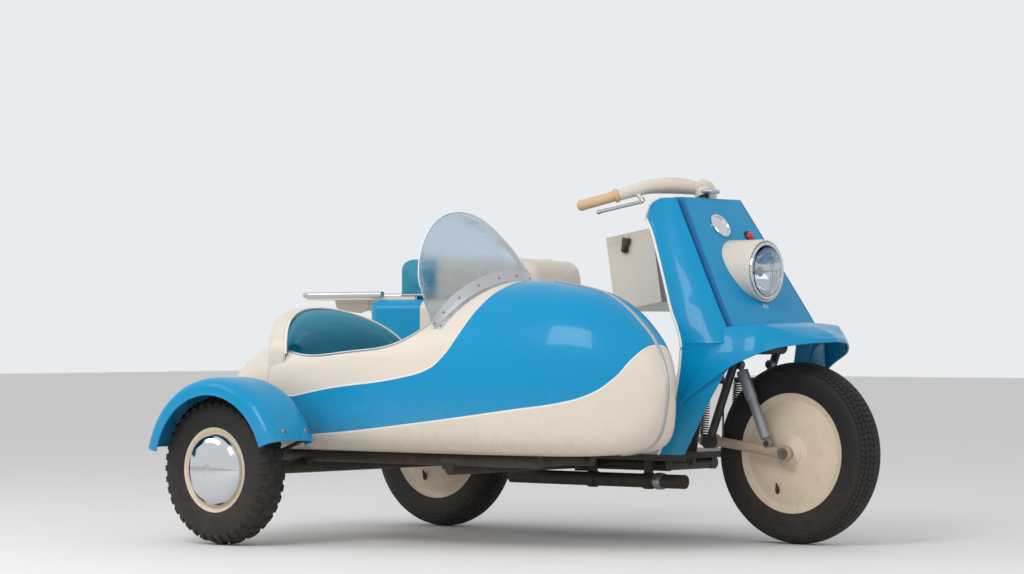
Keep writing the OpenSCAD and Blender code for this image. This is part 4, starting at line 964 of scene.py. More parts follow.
# %% Edge beads and blank badge
bm = bmesh.new()
for side in (-1, 1):
    edge = [apron_half(rows_at(apron_rows, v), 0) for v in np.linspace(0.0, 0.98, 40)]
    edge += [Vector((r[1], r[2], r[0])) for r in cheek_rows[1:]]
    tube(bm, [at(p.x, side * p.y, p.z) for p in edge], EDGE_R * MM, 8)
piece("leg_shield_bead", bm, "chassis", white_bead)
bm = bmesh.new()
top_row = rows_at(apron_rows, 0)
half_top = [apron_half(top_row, u) for u in (0.0, 0.1, 0.2, 0.35, 0.5, 0.65, 0.78)]
for side in (-1, 1):
    tube(bm, [at(p.x - 2, side * p.y, p.z) for p in half_top], EDGE_R * MM, 8)
piece("apron_top_bead", bm, "chassis", white_bead)
panel_out = Vector((math.cos(PANEL_RAKE), 0, math.sin(PANEL_RAKE)))
BADGE = [(0, 5), (23, 4.6), (26, 3.4), (29, 3.4), (30.5, 6.4), (35.5, 6.6), (38.5, 4), (38.5, -1)]
BADGE_Y, BADGE_Z = -30, 894
bm = bmesh.new()
turned(bm, BADGE, at(panel_x(BADGE_Z), BADGE_Y, BADGE_Z), panel_out, 48)
piece("blank_badge", bm, "chassis", chrome)

# %% [markdown]
# The headlamp is a pressed bullet shell with a plated rim, a polished bowl and a moulded lens. The bowl is what the
# eye sees through the glass, so it needs its real depth: a parabola spun round the axis. The lens is a spun dome
# whose inner face is fluted, and a bulb shield sits in the focus.

# %% Headlamp bowl, lens and bulb shield
LAMP_FACE, LAMP_Z, LAMP_R = 1192, 762, 83
lamp_origin, lamp_axis = at(LAMP_FACE, 0, LAMP_Z), Vector((1, 0, 0))
BOWL_R, BOWL_DEPTH, BOWL_T = LAMP_R - 13.6, 52, 1.2
bowl = [(BOWL_R * s, 4.2 - BOWL_DEPTH * (1 - s * s)) for s in np.linspace(0.12, 1, 16)]
bm = bmesh.new()
turned(bm, bowl + [(r, h - BOWL_T) for r, h in reversed(bowl)], lamp_origin, lamp_axis, 64)
piece("lamp_bowl", bm, "chassis", chrome)

LENS_R, DOME_R, FLUTES, FLUTE_DEEP, LENS_T = LAMP_R - 13.4, 180, 9, 1.2, 3.2


def dome(r):
    return 26 - DOME_R + math.sqrt(DOME_R**2 - r * r)


lens_radii = [LENS_R * s for s in np.linspace(0, 1, 22)]
lens_section = [(r, dome(r)) for r in lens_radii] + [(r, dome(r) - LENS_T) for r in reversed(lens_radii)]
bm = bmesh.new()
turned(bm, lens_section, lamp_origin, lamp_axis, 96)
for v in bm.verts:
    h, y, z = (v.co - lamp_origin) / MM
    r = math.hypot(y, z)
    if h < dome(min(r, LENS_R)) - LENS_T / 2 and r < 0.95 * LENS_R:
        v.co.x -= FLUTE_DEEP * MM * abs(math.sin(math.pi * FLUTES * y / LENS_R))
piece("lamp_lens", bm, "chassis", lamp_glass, ["headlamp_lens"], crease=30)

SHIELD = [(0, -8), (9, -9.5), (13, -13), (14, -18), (13, -18.4), (12, -14), (8, -11), (0, -10)]
STEM = [(5, -18), (5, -47), (0, -47.5)]
bm = bmesh.new()
turned(bm, SHIELD, lamp_origin, lamp_axis, 32)
turned(bm, STEM, lamp_origin, lamp_axis, 20)
piece("bulb_shield", bm, "chassis", alloy)

# %% [markdown]
# The shell is a full bullet: level along its top, a little wider at the foot than at the lip, and cut off by the
# raked panel. It is spun round the lamp's axis, widened sideways toward the foot, and then bisected by the panel's
# plane, which gives the true meeting line. A thin plated ring sits inside its lip.

# %% Headlamp shell and ring
SHELL_R, SHELL_WIDE, SHELL_BACK, SHELL_Z = 89, 16, 190, LAMP_Z + 3
shell_origin = at(LAMP_FACE, 0, SHELL_Z)
SHELL = [(SHELL_R, -h) for h in np.linspace(SHELL_BACK, 8, 24)]
LIP_ROUND = [(SHELL_R - 2.5 + 2.5 * math.cos(a), -8 + 13 * math.sin(a)) for a in np.linspace(0.2, 1.5, 7)]
INSIDE = [(SHELL_R - 5, 4), (SHELL_R - 7, 0), (SHELL_R - 7, -20)]
bm = bmesh.new()
turned(bm, SHELL + LIP_ROUND + INSIDE, shell_origin, lamp_axis, 72)
for v in bm.verts:
    back = max(0.0, (shell_origin.x - v.co.x) / MM) / SHELL_BACK
    v.co.y = shell_origin.y + (v.co.y - shell_origin.y) * (1 + SHELL_WIDE / SHELL_R * min(1, 2.2 * back) ** 1.5)
panel_spot = at(panel_x(SHELL_Z) - 2, 0, SHELL_Z)
bmesh.ops.bisect_plane(bm, geom=bm.verts[:] + bm.edges[:] + bm.faces[:], plane_co=panel_spot,
                       plane_no=-panel_out, clear_outer=True)
piece("lamp_shell", bm, "chassis", cream_paint, ["headlamp_shell"], crease=50)
RIM = [(7, -2), (7.5, 5), (9, 8), (13, 9), (17, 7.5), (19, 4), (19, -2)]
bm = bmesh.new()
turned(bm, [(SHELL_R - inward, h) for inward, h in RIM], shell_origin, lamp_axis, 72)
piece("lamp_ring", bm, "chassis", chrome, ["headlamp_rim"])

# %% [markdown]
# A small red pilot jewel sits on the panel above the lamp, in a dark hood. It is a dome on a ring; the hood is a
# ring of the same axis, a little larger. Both stand on the panel's own plane.

# %% Pilot jewel
JEWEL_Y, JEWEL_Z, JEWEL_R = 88, 866, 13
jewel_spot = at(panel_x(JEWEL_Z), JEWEL_Y, JEWEL_Z)
bm = bmesh.new()
turned(bm, [(JEWEL_R * math.cos(a), 2 + 12 * math.sin(a)) for a in np.linspace(0, math.pi / 2, 8)],
       jewel_spot, panel_out, 28)
piece("pilot_jewel", bm, "chassis", jewel_red)
bm = bmesh.new()
turned(bm, [(JEWEL_R, -1), (JEWEL_R, 4), (15, 6), (18, 4), (19, -1)], jewel_spot, panel_out, 32)
piece("jewel_hood", bm, "chassis", black_paint)

# %% [markdown]
# A screw in the shell's side fixes the lamp's aim, and a sprung clip below the rim lets the front swing open. The
# screw is a spun dome with a bar for its slot, and the clip is a pair of bent wires with a bar across.

# %% Aim screw and rim clip
SCREW_X, SCREW_Z, SCREW_REACH = LAMP_FACE - 62, SHELL_Z - 8, SHELL_R * 1.02
AIM_SCREW = [(0, 2.4), (4.5, 2.2), (6.5, 1), (6.8, -3)]
bm = bmesh.new()
turned(bm, AIM_SCREW, at(SCREW_X, -SCREW_REACH, SCREW_Z), Vector((0, -1, 0)), 20)
block(bm, at(SCREW_X, -SCREW_REACH - 2.3, SCREW_Z), (0.010, 0.0012, 0.0016))
piece("aim_screw", bm, "chassis", black_paint)
CLIP = [(-12, 3), (-6, -3), (0, -14), (6, -24), (12, -26), (14, -18), (8, -6), (2, 2)]
bm = bmesh.new()
for side in (-6, 6):
    tube(bm, [at(LAMP_FACE - 8 + x, side, SHELL_Z - SHELL_R + z) for x, z in CLIP], 2 * MM, 8)
tube(bm, [at(LAMP_FACE - 2, y, SHELL_Z - SHELL_R - 20) for y in (-8, 0, 8)], 2.4 * MM, 10)
piece("rim_clip", bm, "chassis", alloy)

# %% [markdown]
# The road tyres have seven ribs of small slanted blocks. A section is spun round the axle, every second row of points
# is turned by half a block so that the cells slant, and each cell is then inset and raised by itself. The knobby
# sidecar tyre has its lugs in the same places as the solid: two rows of shoulder bars and a zigzag on the crown.

# %% Road tread on the scooter's tyres
TYRE_R, TYRE_HW, RIM_R = 254, 52, 168
WHEELBASE, SIDE_TYRE_R, SIDE_RIM_R, TRACK, SIDE_LEAD = 1308, 209, 118, 1043, 87


def tyre_point(r, bead, hw, turn):
    a = math.radians(turn)
    mid = bead + 0.48 * (r - bead)
    if abs(turn) < 90:
        return mid + (r - mid) * min(1, math.cos(a) / math.cos(math.radians(12))) ** 0.8, hw * math.sin(a)
    return mid + (mid - bead) / math.cos(math.radians(55)) * math.cos(a), hw * math.sin(a)


# Turns round the section, in degrees: the lower wall up to the shoulder, then the ribs' borders
WALL = [-125, -116, -107, -98, -90, -82, -74, -67]
RIBS = [-60, -44, -28, -11, 11, 28, 44, 60]
BLOCKS, BLOCK_H, BLOCK_GAP = 96, 2.6, 1.1
WALL_RINGS, WALL_RING_R = (84, 96.8), 0.9


def road_tyre(name, x, body, stands_for):
    axle = at(x, 0, TYRE_R)
    turns = WALL + RIBS + [-t for t in reversed(WALL)]
    bm = bmesh.new()
    row_of = bm.verts.layers.int.new("row")
    section = []
    for t in turns:
        r, side = tyre_point(TYRE_R, RIM_R, TYRE_HW, t)
        low = BLOCK_H if abs(t) <= RIBS[-1] else 0
        section.append(bm.verts.new(axle + Vector((0, side * MM, (r - low) * MM))))
    for i, v in enumerate(section):
        v[row_of] = i
    chain = [bm.edges.new(pair) for pair in zip(section, section[1:] + section[:1])]
    bmesh.ops.spin(bm, geom=section + chain, cent=axle, axis=(0, 1, 0), angle=2 * math.pi, steps=BLOCKS,
                   use_merge=True)
    slant = Matrix.Rotation(math.pi / BLOCKS, 3, "Y")
    first, last = len(WALL), len(WALL) + len(RIBS) - 1
    for v in bm.verts:
        if first <= v[row_of] <= last and (v[row_of] - first) % 2:
            v.co = axle + slant @ (v.co - axle)
    finish_mesh(bm)
    cells = [f for f in bm.faces if all(first <= v[row_of] <= last for v in f.verts)]
    bmesh.ops.inset_individual(bm, faces=cells, thickness=BLOCK_GAP * MM, depth=BLOCK_H * MM, use_even_offset=True)
    for turn in (-1, 1):
        for ring_at in WALL_RINGS:
            r, side = tyre_point(TYRE_R, RIM_R, TYRE_HW, turn * ring_at)
            ring = [axle + Vector((r * math.cos(a), side, r * math.sin(a))) * MM
                    for a in np.linspace(0, 2 * math.pi, BLOCKS + 1)[:-1]]
            tube(bm, ring, WALL_RING_R * MM, 6, closed=True)
    piece(name, bm, body, rubber, [stands_for], crease=32)


road_tyre("front_tyre_tread", WHEELBASE, "front_roller", "front_tyre")
road_tyre("rear_tyre_tread", 0, "rear_roller", "rear_tyre")

# %% Knobby tyre of the sidecar
LUG_H, LUG_SAG, LUG_ROOT, LUG_EASE, LUG_TOP, LUG_FOOT = 6, 0.5, 4, 2.5, 0.86, 1.12
# Rows of lugs: from and to round the section, length, number, stagger as a share of the spacing
LUG = [(-70, -34, 17, 38, 0), (-28, 5, 22, 19, 0.25), (-5, 28, 22, 19, 0.75), (34, 70, 17, 38, 0.5)]
side_axle = at(SIDE_LEAD, -TRACK, SIDE_TYRE_R)
bm = bmesh.new()
section = [bm.verts.new(side_axle + Vector((0, side, r)) * MM) for r, side in
           (tyre_point(SIDE_TYRE_R - LUG_H, SIDE_RIM_R, TYRE_HW - 2, t) for t in np.linspace(-125, 125, 29))]
chain = [bm.edges.new(pair) for pair in zip(section, section[1:] + section[:1])]
bmesh.ops.spin(bm, geom=section + chain, cent=side_axle, axis=(0, 1, 0), angle=2 * math.pi, steps=96,
               use_merge=True)
finish_mesh(bm)


def lug_block(bm, low, high, length, turn):
    """A block bent over the section: a grid of three cells, extruded, smaller at its top than at its root."""
    grid = bmesh.ops.create_grid(bm, x_segments=3, y_segments=1, size=0.5)
    faces = list({f for v in grid["verts"] for f in v.link_faces})
    grown = bmesh.ops.extrude_face_region(bm, geom=faces)["geom"]
    top = {g for g in grown if isinstance(g, bmesh.types.BMVert)}
    bmesh.ops.delete(bm, geom=[f for f in faces if f.is_valid], context="FACES_ONLY")
    spin = Matrix.Rotation(turn, 3, "Y")
    for v in set(grid["verts"]) | top:
        t = low + (high - low) * (v.co.x + 0.5)
        along = v.co.y * length * (LUG_TOP if v in top else LUG_FOOT)
        if v in top:
            ease = LUG_EASE * (1 if v.co.x + 0.5 < 0.5 else -1) if abs(v.co.x) > 0.45 else 0
            r, side = tyre_point(SIDE_TYRE_R - LUG_SAG, SIDE_RIM_R, TYRE_HW, t + ease)
        else:
            r, side = tyre_point(SIDE_TYRE_R - LUG_H - LUG_ROOT, SIDE_RIM_R, TYRE_HW - LUG_ROOT, t)
        v.co = side_axle + spin @ (Vector((along, side, r)) * MM)


for low, high, length, count, stagger in LUG:
    for i in range(count):
        lug_block(bm, low, high, length, -2 * math.pi * (i + stagger) / count + math.pi / 2)
piece("sidecar_tyre_lugs", bm, "sidecar_roller", rubber, ["sidecar_tyre"], crease=32)

# %% [markdown]
# The seats are foam under vinyl. Each starts as a block with its corners rounded, a little smaller than the space it
# has. It is remeshed into even cells and swollen by a short cloth simulation with pressure, so that its faces crown
# and its edges pull in. A cap on the movement keeps it off its neighbours, and piping is laid along the seams after.

# %% Padded blocks
VOXEL, PRESSURE, STIFFNESS, CLOTH_FRAMES = 0.006, 4.0, 12, 20


def swollen(made, cap, keep_floor):
    """Swell a closed mesh by cloth pressure; points move at most cap and never below keep_floor."""
    remesh = made.modifiers.new("even cells", "REMESH")
    remesh.mode, remesh.voxel_size = "VOXEL", VOXEL
    bake_modifiers(made)
    before = np.array([v.co for v in made.data.vertices])
    cloth = made.modifiers.new("air", "CLOTH")
    cloth.settings.use_pressure, cloth.settings.uniform_pressure_force = True, PRESSURE
    cloth.settings.effector_weights.gravity = 0
    cloth.settings.tension_stiffness = cloth.settings.compression_stiffness = STIFFNESS
    for f in range(1, CLOTH_FRAMES + 1):
        scene.frame_set(f)
    bake_modifiers(made)
    scene.frame_set(1)
    after = np.array([v.co for v in made.data.vertices])
    step = after - before
    far = np.linalg.norm(step, axis=1, keepdims=True)
    after = before + step * np.minimum(1, cap / np.maximum(far, 1e-9))
    after[:, 2] = np.maximum(after[:, 2], keep_floor)
    made.data.vertices.foreach_set("co", after.ravel())
    smooth = made.modifiers.new("fine", "SUBSURF")
    smooth.levels = smooth.render_levels = 1
    bake_modifiers(made)
    made.data.shade_smooth()
    print(made.name, "swollen by at most", round(float(np.minimum(far, cap).max()) / MM, 1), "mm")


def padded_block(name, low, high, corner, body, mat, stands_for, cap, shape=None):
    bm = bmesh.new()
    size = [h - l for l, h in zip(low, high)]
    middle = at(*[(l + h) / 2 for l, h in zip(low, high)])
    block(bm, middle, [s * MM for s in size])
    rounded(bm, [e for e in bm.edges if abs((e.verts[0].co - e.verts[1].co).normalized().z) > 0.9], corner * MM, 6)
    upper = [e for e in bm.edges if all(v.co.z > middle.z for v in e.verts)]
    rounded(bm, upper, min(corner * 0.55, size[2] * 0.4) * MM, 5)
    if shape:
        bmesh.ops.subdivide_edges(bm, edges=bm.edges[:], cuts=3, use_grid_fill=True)
        for v in bm.verts:
            v.co = shape(v.co)
    made = piece(name, bm, body, mat, stands_for)
    swollen(made, cap * MM, low[2] * MM)
    return made


# %% [markdown]
# The scooter's long seat has teal vinyl behind and cream in front, joined by a curved seam with piping. Its front
# end slopes down to the rider's knees. The sidecar has a square cushion on the floor and a rounded back pad that
# fills the collar.

# %% Scooter seat
SEAT_LOW, SEAT_HIGH, NOSE_X = (-94, -133, 693), (507, 133, 811), 340
NOSE_BACK, NOSE_DROP, NOSE_SLIM = 22, 26, 0.10


def seat_shape(co):
    x, z = co.x / MM + X_MID, co.z / MM
    share = (z - SEAT_LOW[2]) / (SEAT_HIGH[2] - SEAT_LOW[2])
    nose = max(0.0, (x - NOSE_X) / (SEAT_HIGH[0] - NOSE_X))
    return Vector((co.x - NOSE_BACK * MM * nose * share, co.y * (1 - NOSE_SLIM * nose),
                   co.z - NOSE_DROP * MM * nose**2 * share))


seat_pad = padded_block("seat_pad", SEAT_LOW, SEAT_HIGH, 52, "seat_flap", seat_vinyl, ["seat"], 5,
                        seat_shape)
seat_tree = tree_of(seat_pad)


SEAM_Z, SEAM_POINTS, SEAM_SPAN, SEAM_R = 735, 64, (-0.12, 1.12), 3
EDGE_MID, EDGE_REACH, EDGE_Z, EDGE_POINTS, PIPE_R = 201, (250, 90), 706, 96, 2.6


def skin_line(rays, proud):
    """Where rays from outside meet the seat, lifted a little; rays that miss are left out."""
    hits = [seat_tree.ray_cast(origin + direction * 0.5, -direction)[:2] for origin, direction in rays]
    return [spot + normal * proud * MM for spot, normal in hits if spot is not None]


def edge_ray(k):
    """A ray from inside the seat's outline, a rounded oblong, to the outside."""
    a = 2 * math.pi * k / EDGE_POINTS
    c, s = math.cos(a), math.sin(a)
    middle = at(EDGE_MID, 0, EDGE_Z)
    spot = at(EDGE_MID + EDGE_REACH[0] * power(c, 4), EDGE_REACH[1] * power(s, 4), EDGE_Z)
    return middle + (spot - middle) * 0.4, Vector((c, s, 0))


seam_turns = [math.pi * (SEAM_SPAN[0] + (SEAM_SPAN[1] - SEAM_SPAN[0]) * k / (SEAM_POINTS - 1))
              for k in range(SEAM_POINTS)]
seam_rays = [(at(SEAT_SEAM, 0, SEAM_Z), Vector((0, -math.cos(a), math.sin(a))).normalized()) for a in seam_turns]
bm = bmesh.new()
tube(bm, skin_line(seam_rays, 1.0), SEAM_R * MM, 8)
tube(bm, skin_line([edge_ray(k) for k in range(EDGE_POINTS)], 0.6), PIPE_R * MM, 8, closed=True)
piece("seat_piping", bm, "seat_flap", piping)

# %% Sidecar cushion and back pad
CUSHION_HW, BACK_HW, BACK_LOW, BACK_DEEP, BACK_RING, PIPING_R = 190, 244, 392, 74, 28, 3.4
padded_block("sidecar_cushion", (70, -SIDE_Y - CUSHION_HW, 272), (488, -SIDE_Y + CUSHION_HW, 380), 44, "chassis",
             teal_vinyl, ["sidecar_seat"], 6)


def back_station(e, k):
    share = min(1, abs(e) / BACK_HW)
    deep = 8 + BACK_DEEP * (1 - share**2)
    top = arch_top(e) - 5
    rise = max(0.0, (share - 0.55) / 0.45)
    low = BACK_LOW + (top - 34 - BACK_LOW) * rise * rise * (3 - 2 * rise)
    a = 2 * math.pi * k / BACK_RING
    c, s = math.cos(a), math.sin(a)
    x = arch_front(e) + 3 + (deep * power(c, 2.4) if c > 0 else 0)
    return at(x, e - SIDE_Y, (top + low) / 2 + (top - low) / 2 * power(s, 3 if c > 0 else 8))


bm = bmesh.new()
capped(bm, BACK_RING, list(np.linspace(-BACK_HW, BACK_HW, 49)), back_station)
back_pad = piece("sidecar_back_pad", bm, "chassis", teal_vinyl, ["sidecar_seat_back"])
swollen(back_pad, 4 * MM, BACK_LOW * MM)
bm = bmesh.new()
along_arch = [ARCH_HW * math.sin(math.pi * (u - 0.5)) for u in np.linspace(0.004, 0.996, 73)]
collar_line = [at(arch_front(e) + 3, e - SIDE_Y, max(arch_top(e) - 3, deck_z(arch_front(e) + 3, e)))
               for e in along_arch]
tube(bm, collar_line, PIPING_R * MM, 10)
piece("collar_piping", bm, "chassis", white_bead)

# %% [markdown]
# The bars are one pressed shroud that swells in the middle and thins to the grips. A tube with a different radius at
# each point of a smooth path gives that, and a flat box over the stem covers the clamp. Both turn with the fork.

# %% Handlebar shroud and stem cover
# Points of half the bar: x, y, z and radius
BAR = [[961, 0, 1004, 17], [946, 36, 1010, 22], [926, 78, 1012, 24], [897, 138, 1008, 21], [869, 189, 994, 18],
       [839, 219, 982, 16.5]]
STEM_RAKE, STEM_SPOT = math.radians(24), (975.3, 0, 990)
STEM_CAP = [(0, 16), (20, 15), (24, 11), (24, -8), (0, -8)]
LEVER_LUG, LEVER_LUG_R = [(871, -189, 994), (886, -185, 979), (895, -183, 970)], 7
COVER_AT, COVER_SIZE, COVER_ROUND = (968, 0, 995), (0.108, 0.044, 0.012), 0.004
bm = bmesh.new()
bar_line = smooth_rows(BAR, 6)
for side in (-1, 1):
    tube(bm, [at(x, side * y, z) for x, y, z, r in bar_line], [float(r) * MM for x, y, z, r in bar_line], 20)
turned(bm, STEM_CAP, at(*STEM_SPOT), Vector((-math.sin(STEM_RAKE), 0, math.cos(STEM_RAKE))), 40)
tube(bm, [at(*p) for p in LEVER_LUG], LEVER_LUG_R * MM, 12)
piece("bar_shroud", bm, "steering", cream_paint, ["handlebar"])
bm = bmesh.new()
block(bm, at(*COVER_AT), COVER_SIZE)
rounded(bm, bm.edges[:], COVER_ROUND, 3)
piece("stem_cover", bm, "steering", alloy)

# %% [markdown]
# The front wheel hangs on leading links. Each link is a forged bar, tall and thin, with bosses at its tail, at the
# fork's foot and at the axle. Behind the fork a pair of long coil springs pulls the links' tails up. A coil is a tube
# along a helix, and the links are tubes with an oval section.

# %% Links, their bosses and nuts
LINK_Y, LINK_HW, AXLE, PIVOT, TAIL = 75, 9, (1308, 254), (1068, 284), (1033, 285)
DAMPER_EYES = ((1253, 281.3), (1158, 500))
LINK, LINK_R = [TAIL, PIVOT, (1140, 276), (1230, 264), (1280, 257), AXLE], 7
NUT_R, NUT_H, WASHER = 0.0145, 0.008, [(17, -3.5), (17, -1.5), (15, -1.5)]
BOSS = [(22, -LINK_HW), (23.5, -LINK_HW + 2), (23.5, LINK_HW - 2), (22, LINK_HW), (0, LINK_HW), (0, -LINK_HW)]
link_line = smooth_rows(LINK, 4)
bm = bmesh.new()
for side in (-1, 1):
    tube(bm, [at(x, side * LINK_Y, z) for x, z in link_line], LINK_R * MM, 16, flat=2.0)
    for (x, z), scale in ((AXLE, 1.0), (PIVOT, 0.9), (TAIL, 0.62)):
        turned(bm, [(r * scale, h) for r, h in BOSS], at(x, side * LINK_Y, z), Vector((0, side, 0)), 32)
piece("link_bars", bm, "steering", link_steel, ["link_arms"])
bm = bmesh.new()
for side in (-1, 1):
    spot = at(AXLE[0], side * (LINK_Y + LINK_HW + 4), AXLE[1])
    turn = Matrix.Translation(spot) @ Matrix.Rotation(math.pi / 2, 4, "X")
    bmesh.ops.create_cone(bm, cap_ends=True, segments=6, radius1=NUT_R, radius2=NUT_R, depth=NUT_H, matrix=turn)
    turned(bm, WASHER, spot, Vector((0, side, 0)), 24)
piece("axle_nuts", bm, "steering", steel, crease=25)

# %% Coil springs and damper eyes
COIL_R, WIRE_R, TURNS, TURN_POINTS, SPRING_ENDS = 11.5, 1.9, 22, 14, ((1033, 299), (1044, 446))
HOOK_R, LOW_HOOK, TOP_HOOK = 4, 0.016, 0.012
DAMPER_R, SLEEVE_LIP_R, SLEEVE_R, DAMPER_ROD_R = 14.5, 15, 17, 7
EYE_RING = [(7, -9), (12, -9), (13, -7), (13, 7), (12, 9), (7, 9)]
EYE_BOLT = [(0, -10.5), (8, -10.5), (9, -9.5), (9, 9.5), (8, 10.5), (0, 10.5)]
ACROSS = Vector((0, 1, 0))
bm = bmesh.new()
for side in (-1, 1):
    low, top = (at(x, side * LINK_Y, z) for x, z in SPRING_ENDS)
    run = (top - low).normalized()
    ahead = run.cross(ACROSS).normalized()
    helix = []
    for k in range(TURNS * TURN_POINTS + 1):
        a = 2 * math.pi * k / TURN_POINTS
        middle = low + (top - low) * (k / (TURNS * TURN_POINTS))
        helix.append(middle + COIL_R * MM * (math.cos(a) * ahead + math.sin(a) * ACROSS))
    tube(bm, helix, WIRE_R * MM, 6)
    tube(bm, [low - run * LOW_HOOK, low], HOOK_R * MM, 8)
    tube(bm, [top, top + run * TOP_HOOK], HOOK_R * MM, 8)
piece("coil_springs", bm, "steering", black_paint, ["fork_springs"])
bm = bmesh.new()
for side in (-1, 1):
    foot, top = (at(x, side * LINK_Y, z) for x, z in DAMPER_EYES)
    tube(bm, [foot + (top - foot) * s for s in (0.07, 0.6)], DAMPER_R * MM, 24)
    tube(bm, [foot + (top - foot) * s for s in (0.55, 0.57, 0.92)],
         [r * MM for r in (SLEEVE_LIP_R, SLEEVE_R, SLEEVE_R)], 24)
    tube(bm, [foot, top], DAMPER_ROD_R * MM, 12)
    for spot in (foot, top):
        turned(bm, EYE_RING, spot, ACROSS, 28)
piece("damper_tubes", bm, "steering", damper_grey, ["dampers"])
bm = bmesh.new()
for side in (-1, 1):
    for x, z in DAMPER_EYES:
        turned(bm, EYE_BOLT, at(x, side * LINK_Y, z), ACROSS, 24)
piece("damper_bolts", bm, "steering", black_paint)

# %% [markdown]
# On each of the scooter's wheels a rubber valve leans out of the disc. A ray is cast on the wheel's solid to find the
# disc's face, so the valve really grows out of the metal wherever the disc is dished.

# %% Valves
VALVE = [(0, 30), (2.6, 29), (3.2, 22), (6.5, 6), (7.2, 0), (6, -6), (0, -6)]
VALVE_REACH, VALVE_LEAN, OUTSIDE_Y = 118, Vector((0.25, -0.6, 0.75)), -200
for name, body, x in (("front_wheel", "front_roller", WHEELBASE), ("rear_wheel", "rear_roller", 0)):
    start = at(x - 0.42 * VALVE_REACH, OUTSIDE_Y, TYRE_R - 0.907 * VALVE_REACH)
    bm = bmesh.new()
    turned(bm, VALVE, tree_of(nodes[name]).ray_cast(start, ACROSS)[0], VALVE_LEAN, 20)
    piece(name + "_valve", bm, body, black_paint)

# %% [markdown]
# The sidecar's fender is pressed sheet, and its raw edge is rolled over a wire so that it can't cut or crack. The
# roll is a tube along the fender's own edge: an arc on each side, joined by the arch of the section at both ends.
# Two round-headed bolts sit at its front end.

# %% Fender roll and bolts
FENDER_MID, FENDER_R, FENDER_SKIRT, FENDER_HW, FENDER_SPAN = (111, -1043, 209), 259, 46, 93, (20, 166)
FENDER_T, ROLL_R, BOLT_ANGLE, BOLTS_ACROSS = 3, 3.4, 26, (83, 113)
BOLT = [(0, 5), (4, 4.6), (6.5, 2.8), (7.5, 0), (7.5, -3)]


def fender_point(angle, across):
    """A point of the fender's skin: angle round FENDER_MID, across from 0 (outer edge) to 180 (inner edge)."""
    c, s = math.cos(math.radians(across)), math.sin(math.radians(across))
    r = FENDER_R - FENDER_SKIRT + FENDER_SKIRT * math.sqrt(max(0.0, s)) - FENDER_T / 2
    y = FENDER_MID[1] - (FENDER_HW - FENDER_T / 2) * math.copysign(math.sqrt(abs(c)), c)
    a = math.radians(angle)
    return at(FENDER_MID[0] + r * math.cos(a), y, FENDER_MID[2] + r * math.sin(a))


sweep = list(np.linspace(*FENDER_SPAN, 49))
over_top = list(np.linspace(0, 180, 37))[1:-1]
roll = [fender_point(a, 0) for a in sweep] + [fender_point(FENDER_SPAN[1], k) for k in over_top]
roll += [fender_point(a, 180) for a in reversed(sweep)]
roll += [fender_point(FENDER_SPAN[0], k) for k in reversed(over_top)]
bm = bmesh.new()
tube(bm, roll, ROLL_R * MM, 10, closed=True)
piece("fender_roll", bm, "chassis", blue_paint)
bm = bmesh.new()
outward = Vector((math.cos(math.radians(BOLT_ANGLE)), 0, math.sin(math.radians(BOLT_ANGLE))))
for across in BOLTS_ACROSS:
    turned(bm, BOLT, fender_point(BOLT_ANGLE, across), outward, 20)
piece("fender_bolts", bm, "chassis", steel)

# %% [markdown]
# Small fittings that the photograph shows: the toggle latch of the glove box, the band that clamps the exhaust, a
# thin rod beside the fork, and the pressed bracket below the luggage rack. Each is placed on the piece that carries
# it.

# %% Toggle latch
LATCH = [  # size and shift of its three blocks, in metres
    ((0.030, 0.003, 0.018), (0, -0.0012, 0.008)), ((0.022, 0.006, 0.030), (0, -0.003, -0.008)),
    ((0.010, 0.009, 0.016), (0, -0.0045, -0.018))]
LATCH_FROM, BOX_TILT = (801, -300, 846), math.radians(9)
latch_spot = tree_of(nodes["glove_lid"]).ray_cast(at(*LATCH_FROM), ACROSS)[0]
tilt = Matrix.Rotation(BOX_TILT, 4, "Y")
bm = bmesh.new()
for size, shift in LATCH:
    block(bm, latch_spot, size, tilt @ Matrix.Translation(shift))
rounded(bm, bm.edges[:], 0.001, 2)
piece("toggle_latch", bm, "glove_flap", bronze)

# %% Exhaust clamp, fork rod and rack bracket
BAND = [(19.5, 0), (23.5, 0.5), (24, 3), (24, 21), (23.5, 23.5), (19.5, 24)]
BAND_AT, BAND_SCREW, BAND_SCREW_R = (931, -161, 170), [(943, -190, 176), (943, -180, 176)], 3.4
ROD_X, ROD, ROD_R = 1100, [(-75, 278), (-75, 380), (-75, 468), (-84, 486)], 3
BRACKET = [(-398, 691), (-394, 672), (-380, 662), (-330, 656), (-290, 652), (-262, 660), (-256, 691)]
BRACKET_TOP, BRACKET_T, BRACKET_Y = 692.5, 3, 62
bm = bmesh.new()
turned(bm, BAND, at(*BAND_AT), Vector((1, 0, 0)), 40)
tube(bm, [at(*p) for p in BAND_SCREW], BAND_SCREW_R * MM, 12)
piece("pipe_clamp", bm, "chassis", alloy)
bm = bmesh.new()
tube(bm, [at(ROD_X, y, z) for y, z in ROD], ROD_R * MM, 10)
piece("fork_rod", bm, "steering", black_paint)


def bracket_point(u, v, y):
    x, z = BRACKET[int(round(u * (len(BRACKET) - 1)))]
    return at(x, y, z if v < 0.5 else BRACKET_TOP)


bm = bmesh.new()
for y in (-BRACKET_Y, BRACKET_Y):
    surface(bm, len(BRACKET) - 1, 1, lambda u, v: bracket_point(u, v, y))
finish_mesh(bm)
bmesh.ops.solidify(bm, geom=bm.faces, thickness=BRACKET_T * MM)
piece("rack_bracket", bm, "chassis", cream_paint)

# %% [markdown]
# The seat's cushion hides its hinge, so two leaves with rolled knuckles reach from below it to the hinge pin. They
# turn with the seat.

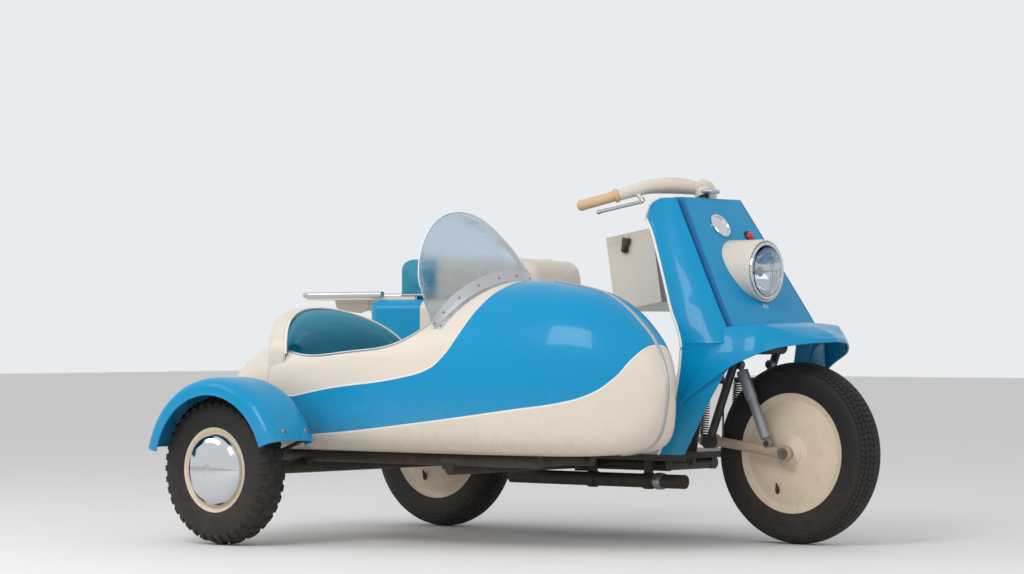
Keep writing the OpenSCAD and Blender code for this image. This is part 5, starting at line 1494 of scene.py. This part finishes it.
# %% Seat hinge leaves
HINGE_X, HINGE_Z, KNUCKLE_W, LEAVES_Y = 518, 701, 18, (-58, 40)
LEAF_BACK, LEAF_SIZE = 24, (0.034, KNUCKLE_W * MM, 0.010)
KNUCKLE = [(5.3, 0), (9, 0), (9, KNUCKLE_W), (5.3, KNUCKLE_W), (5.3, 0)]
bm = bmesh.new()
for y in LEAVES_Y:
    turned(bm, KNUCKLE, at(HINGE_X, y, HINGE_Z), ACROSS, 28)
    block(bm, at(HINGE_X - LEAF_BACK, y + KNUCKLE_W / 2, HINGE_Z), LEAF_SIZE)
piece("hinge_leaves", bm, "seat_flap", steel)

# %% [markdown]
# A stepped cream collar covers each side of the front wheel's hub. It is a small profile, spun round the axle.

# %% Hub collars of the front wheel
COLLAR = [(34, 40), (34, 47), (31, 49), (27, 50), (26, 54), (24, 56), (21, 60), (12, 60.5), (12, 40)]
bm = bmesh.new()
for side in (-1, 1):
    turned(bm, COLLAR, at(WHEELBASE, 0, TYRE_R), Vector((0, side, 0)), 40)
piece("hub_collars", bm, "front_roller", cream_paint)

# %% [markdown]
# Many solids already have their final shape, such as the tubes, axles, wheels and the fender. They stay as they are
# and only get a finish. The name of each solid is listed under its material, so a repaint is one line.

# %% Finishes for the solids that stay
dress(blue_paint, "rear_body", "sidecar_fender", "apron")
dress(cream_paint, "side_cowl", "glove_box", "glove_lid", "headlamp_shell", "handlebar")
dress(wheel_paint, "front_wheel", "rear_wheel", "sidecar_wheel")
dress(black_paint, "frame", "floor_pan", "exhaust", "swing_arm", "fork", "sidecar_frame", "fender_stay", "engine",
      "fork_springs")
dress(steel, "rear_shocks", "rear_axle", "link_arms", "front_axle", "sidecar_axle")
dress(rack_finish, "luggage_rack")
dress(alloy, "dampers", "brake_lever")
dress(chrome, "sidecar_hubcap", "headlamp_rim")
dress(rubber, "rear_tyre", "front_tyre", "sidecar_tyre")
dress(grip_rubber, "grips")
dress(lamp_glass, "headlamp_lens")
dress(jewel_red, "tail_lamp")
dress(teal_vinyl, "seat", "sidecar_seat", "sidecar_seat_back")
print("dressed", sum(1 for n in nodes.values() if not n.hide_render), "solids that show")
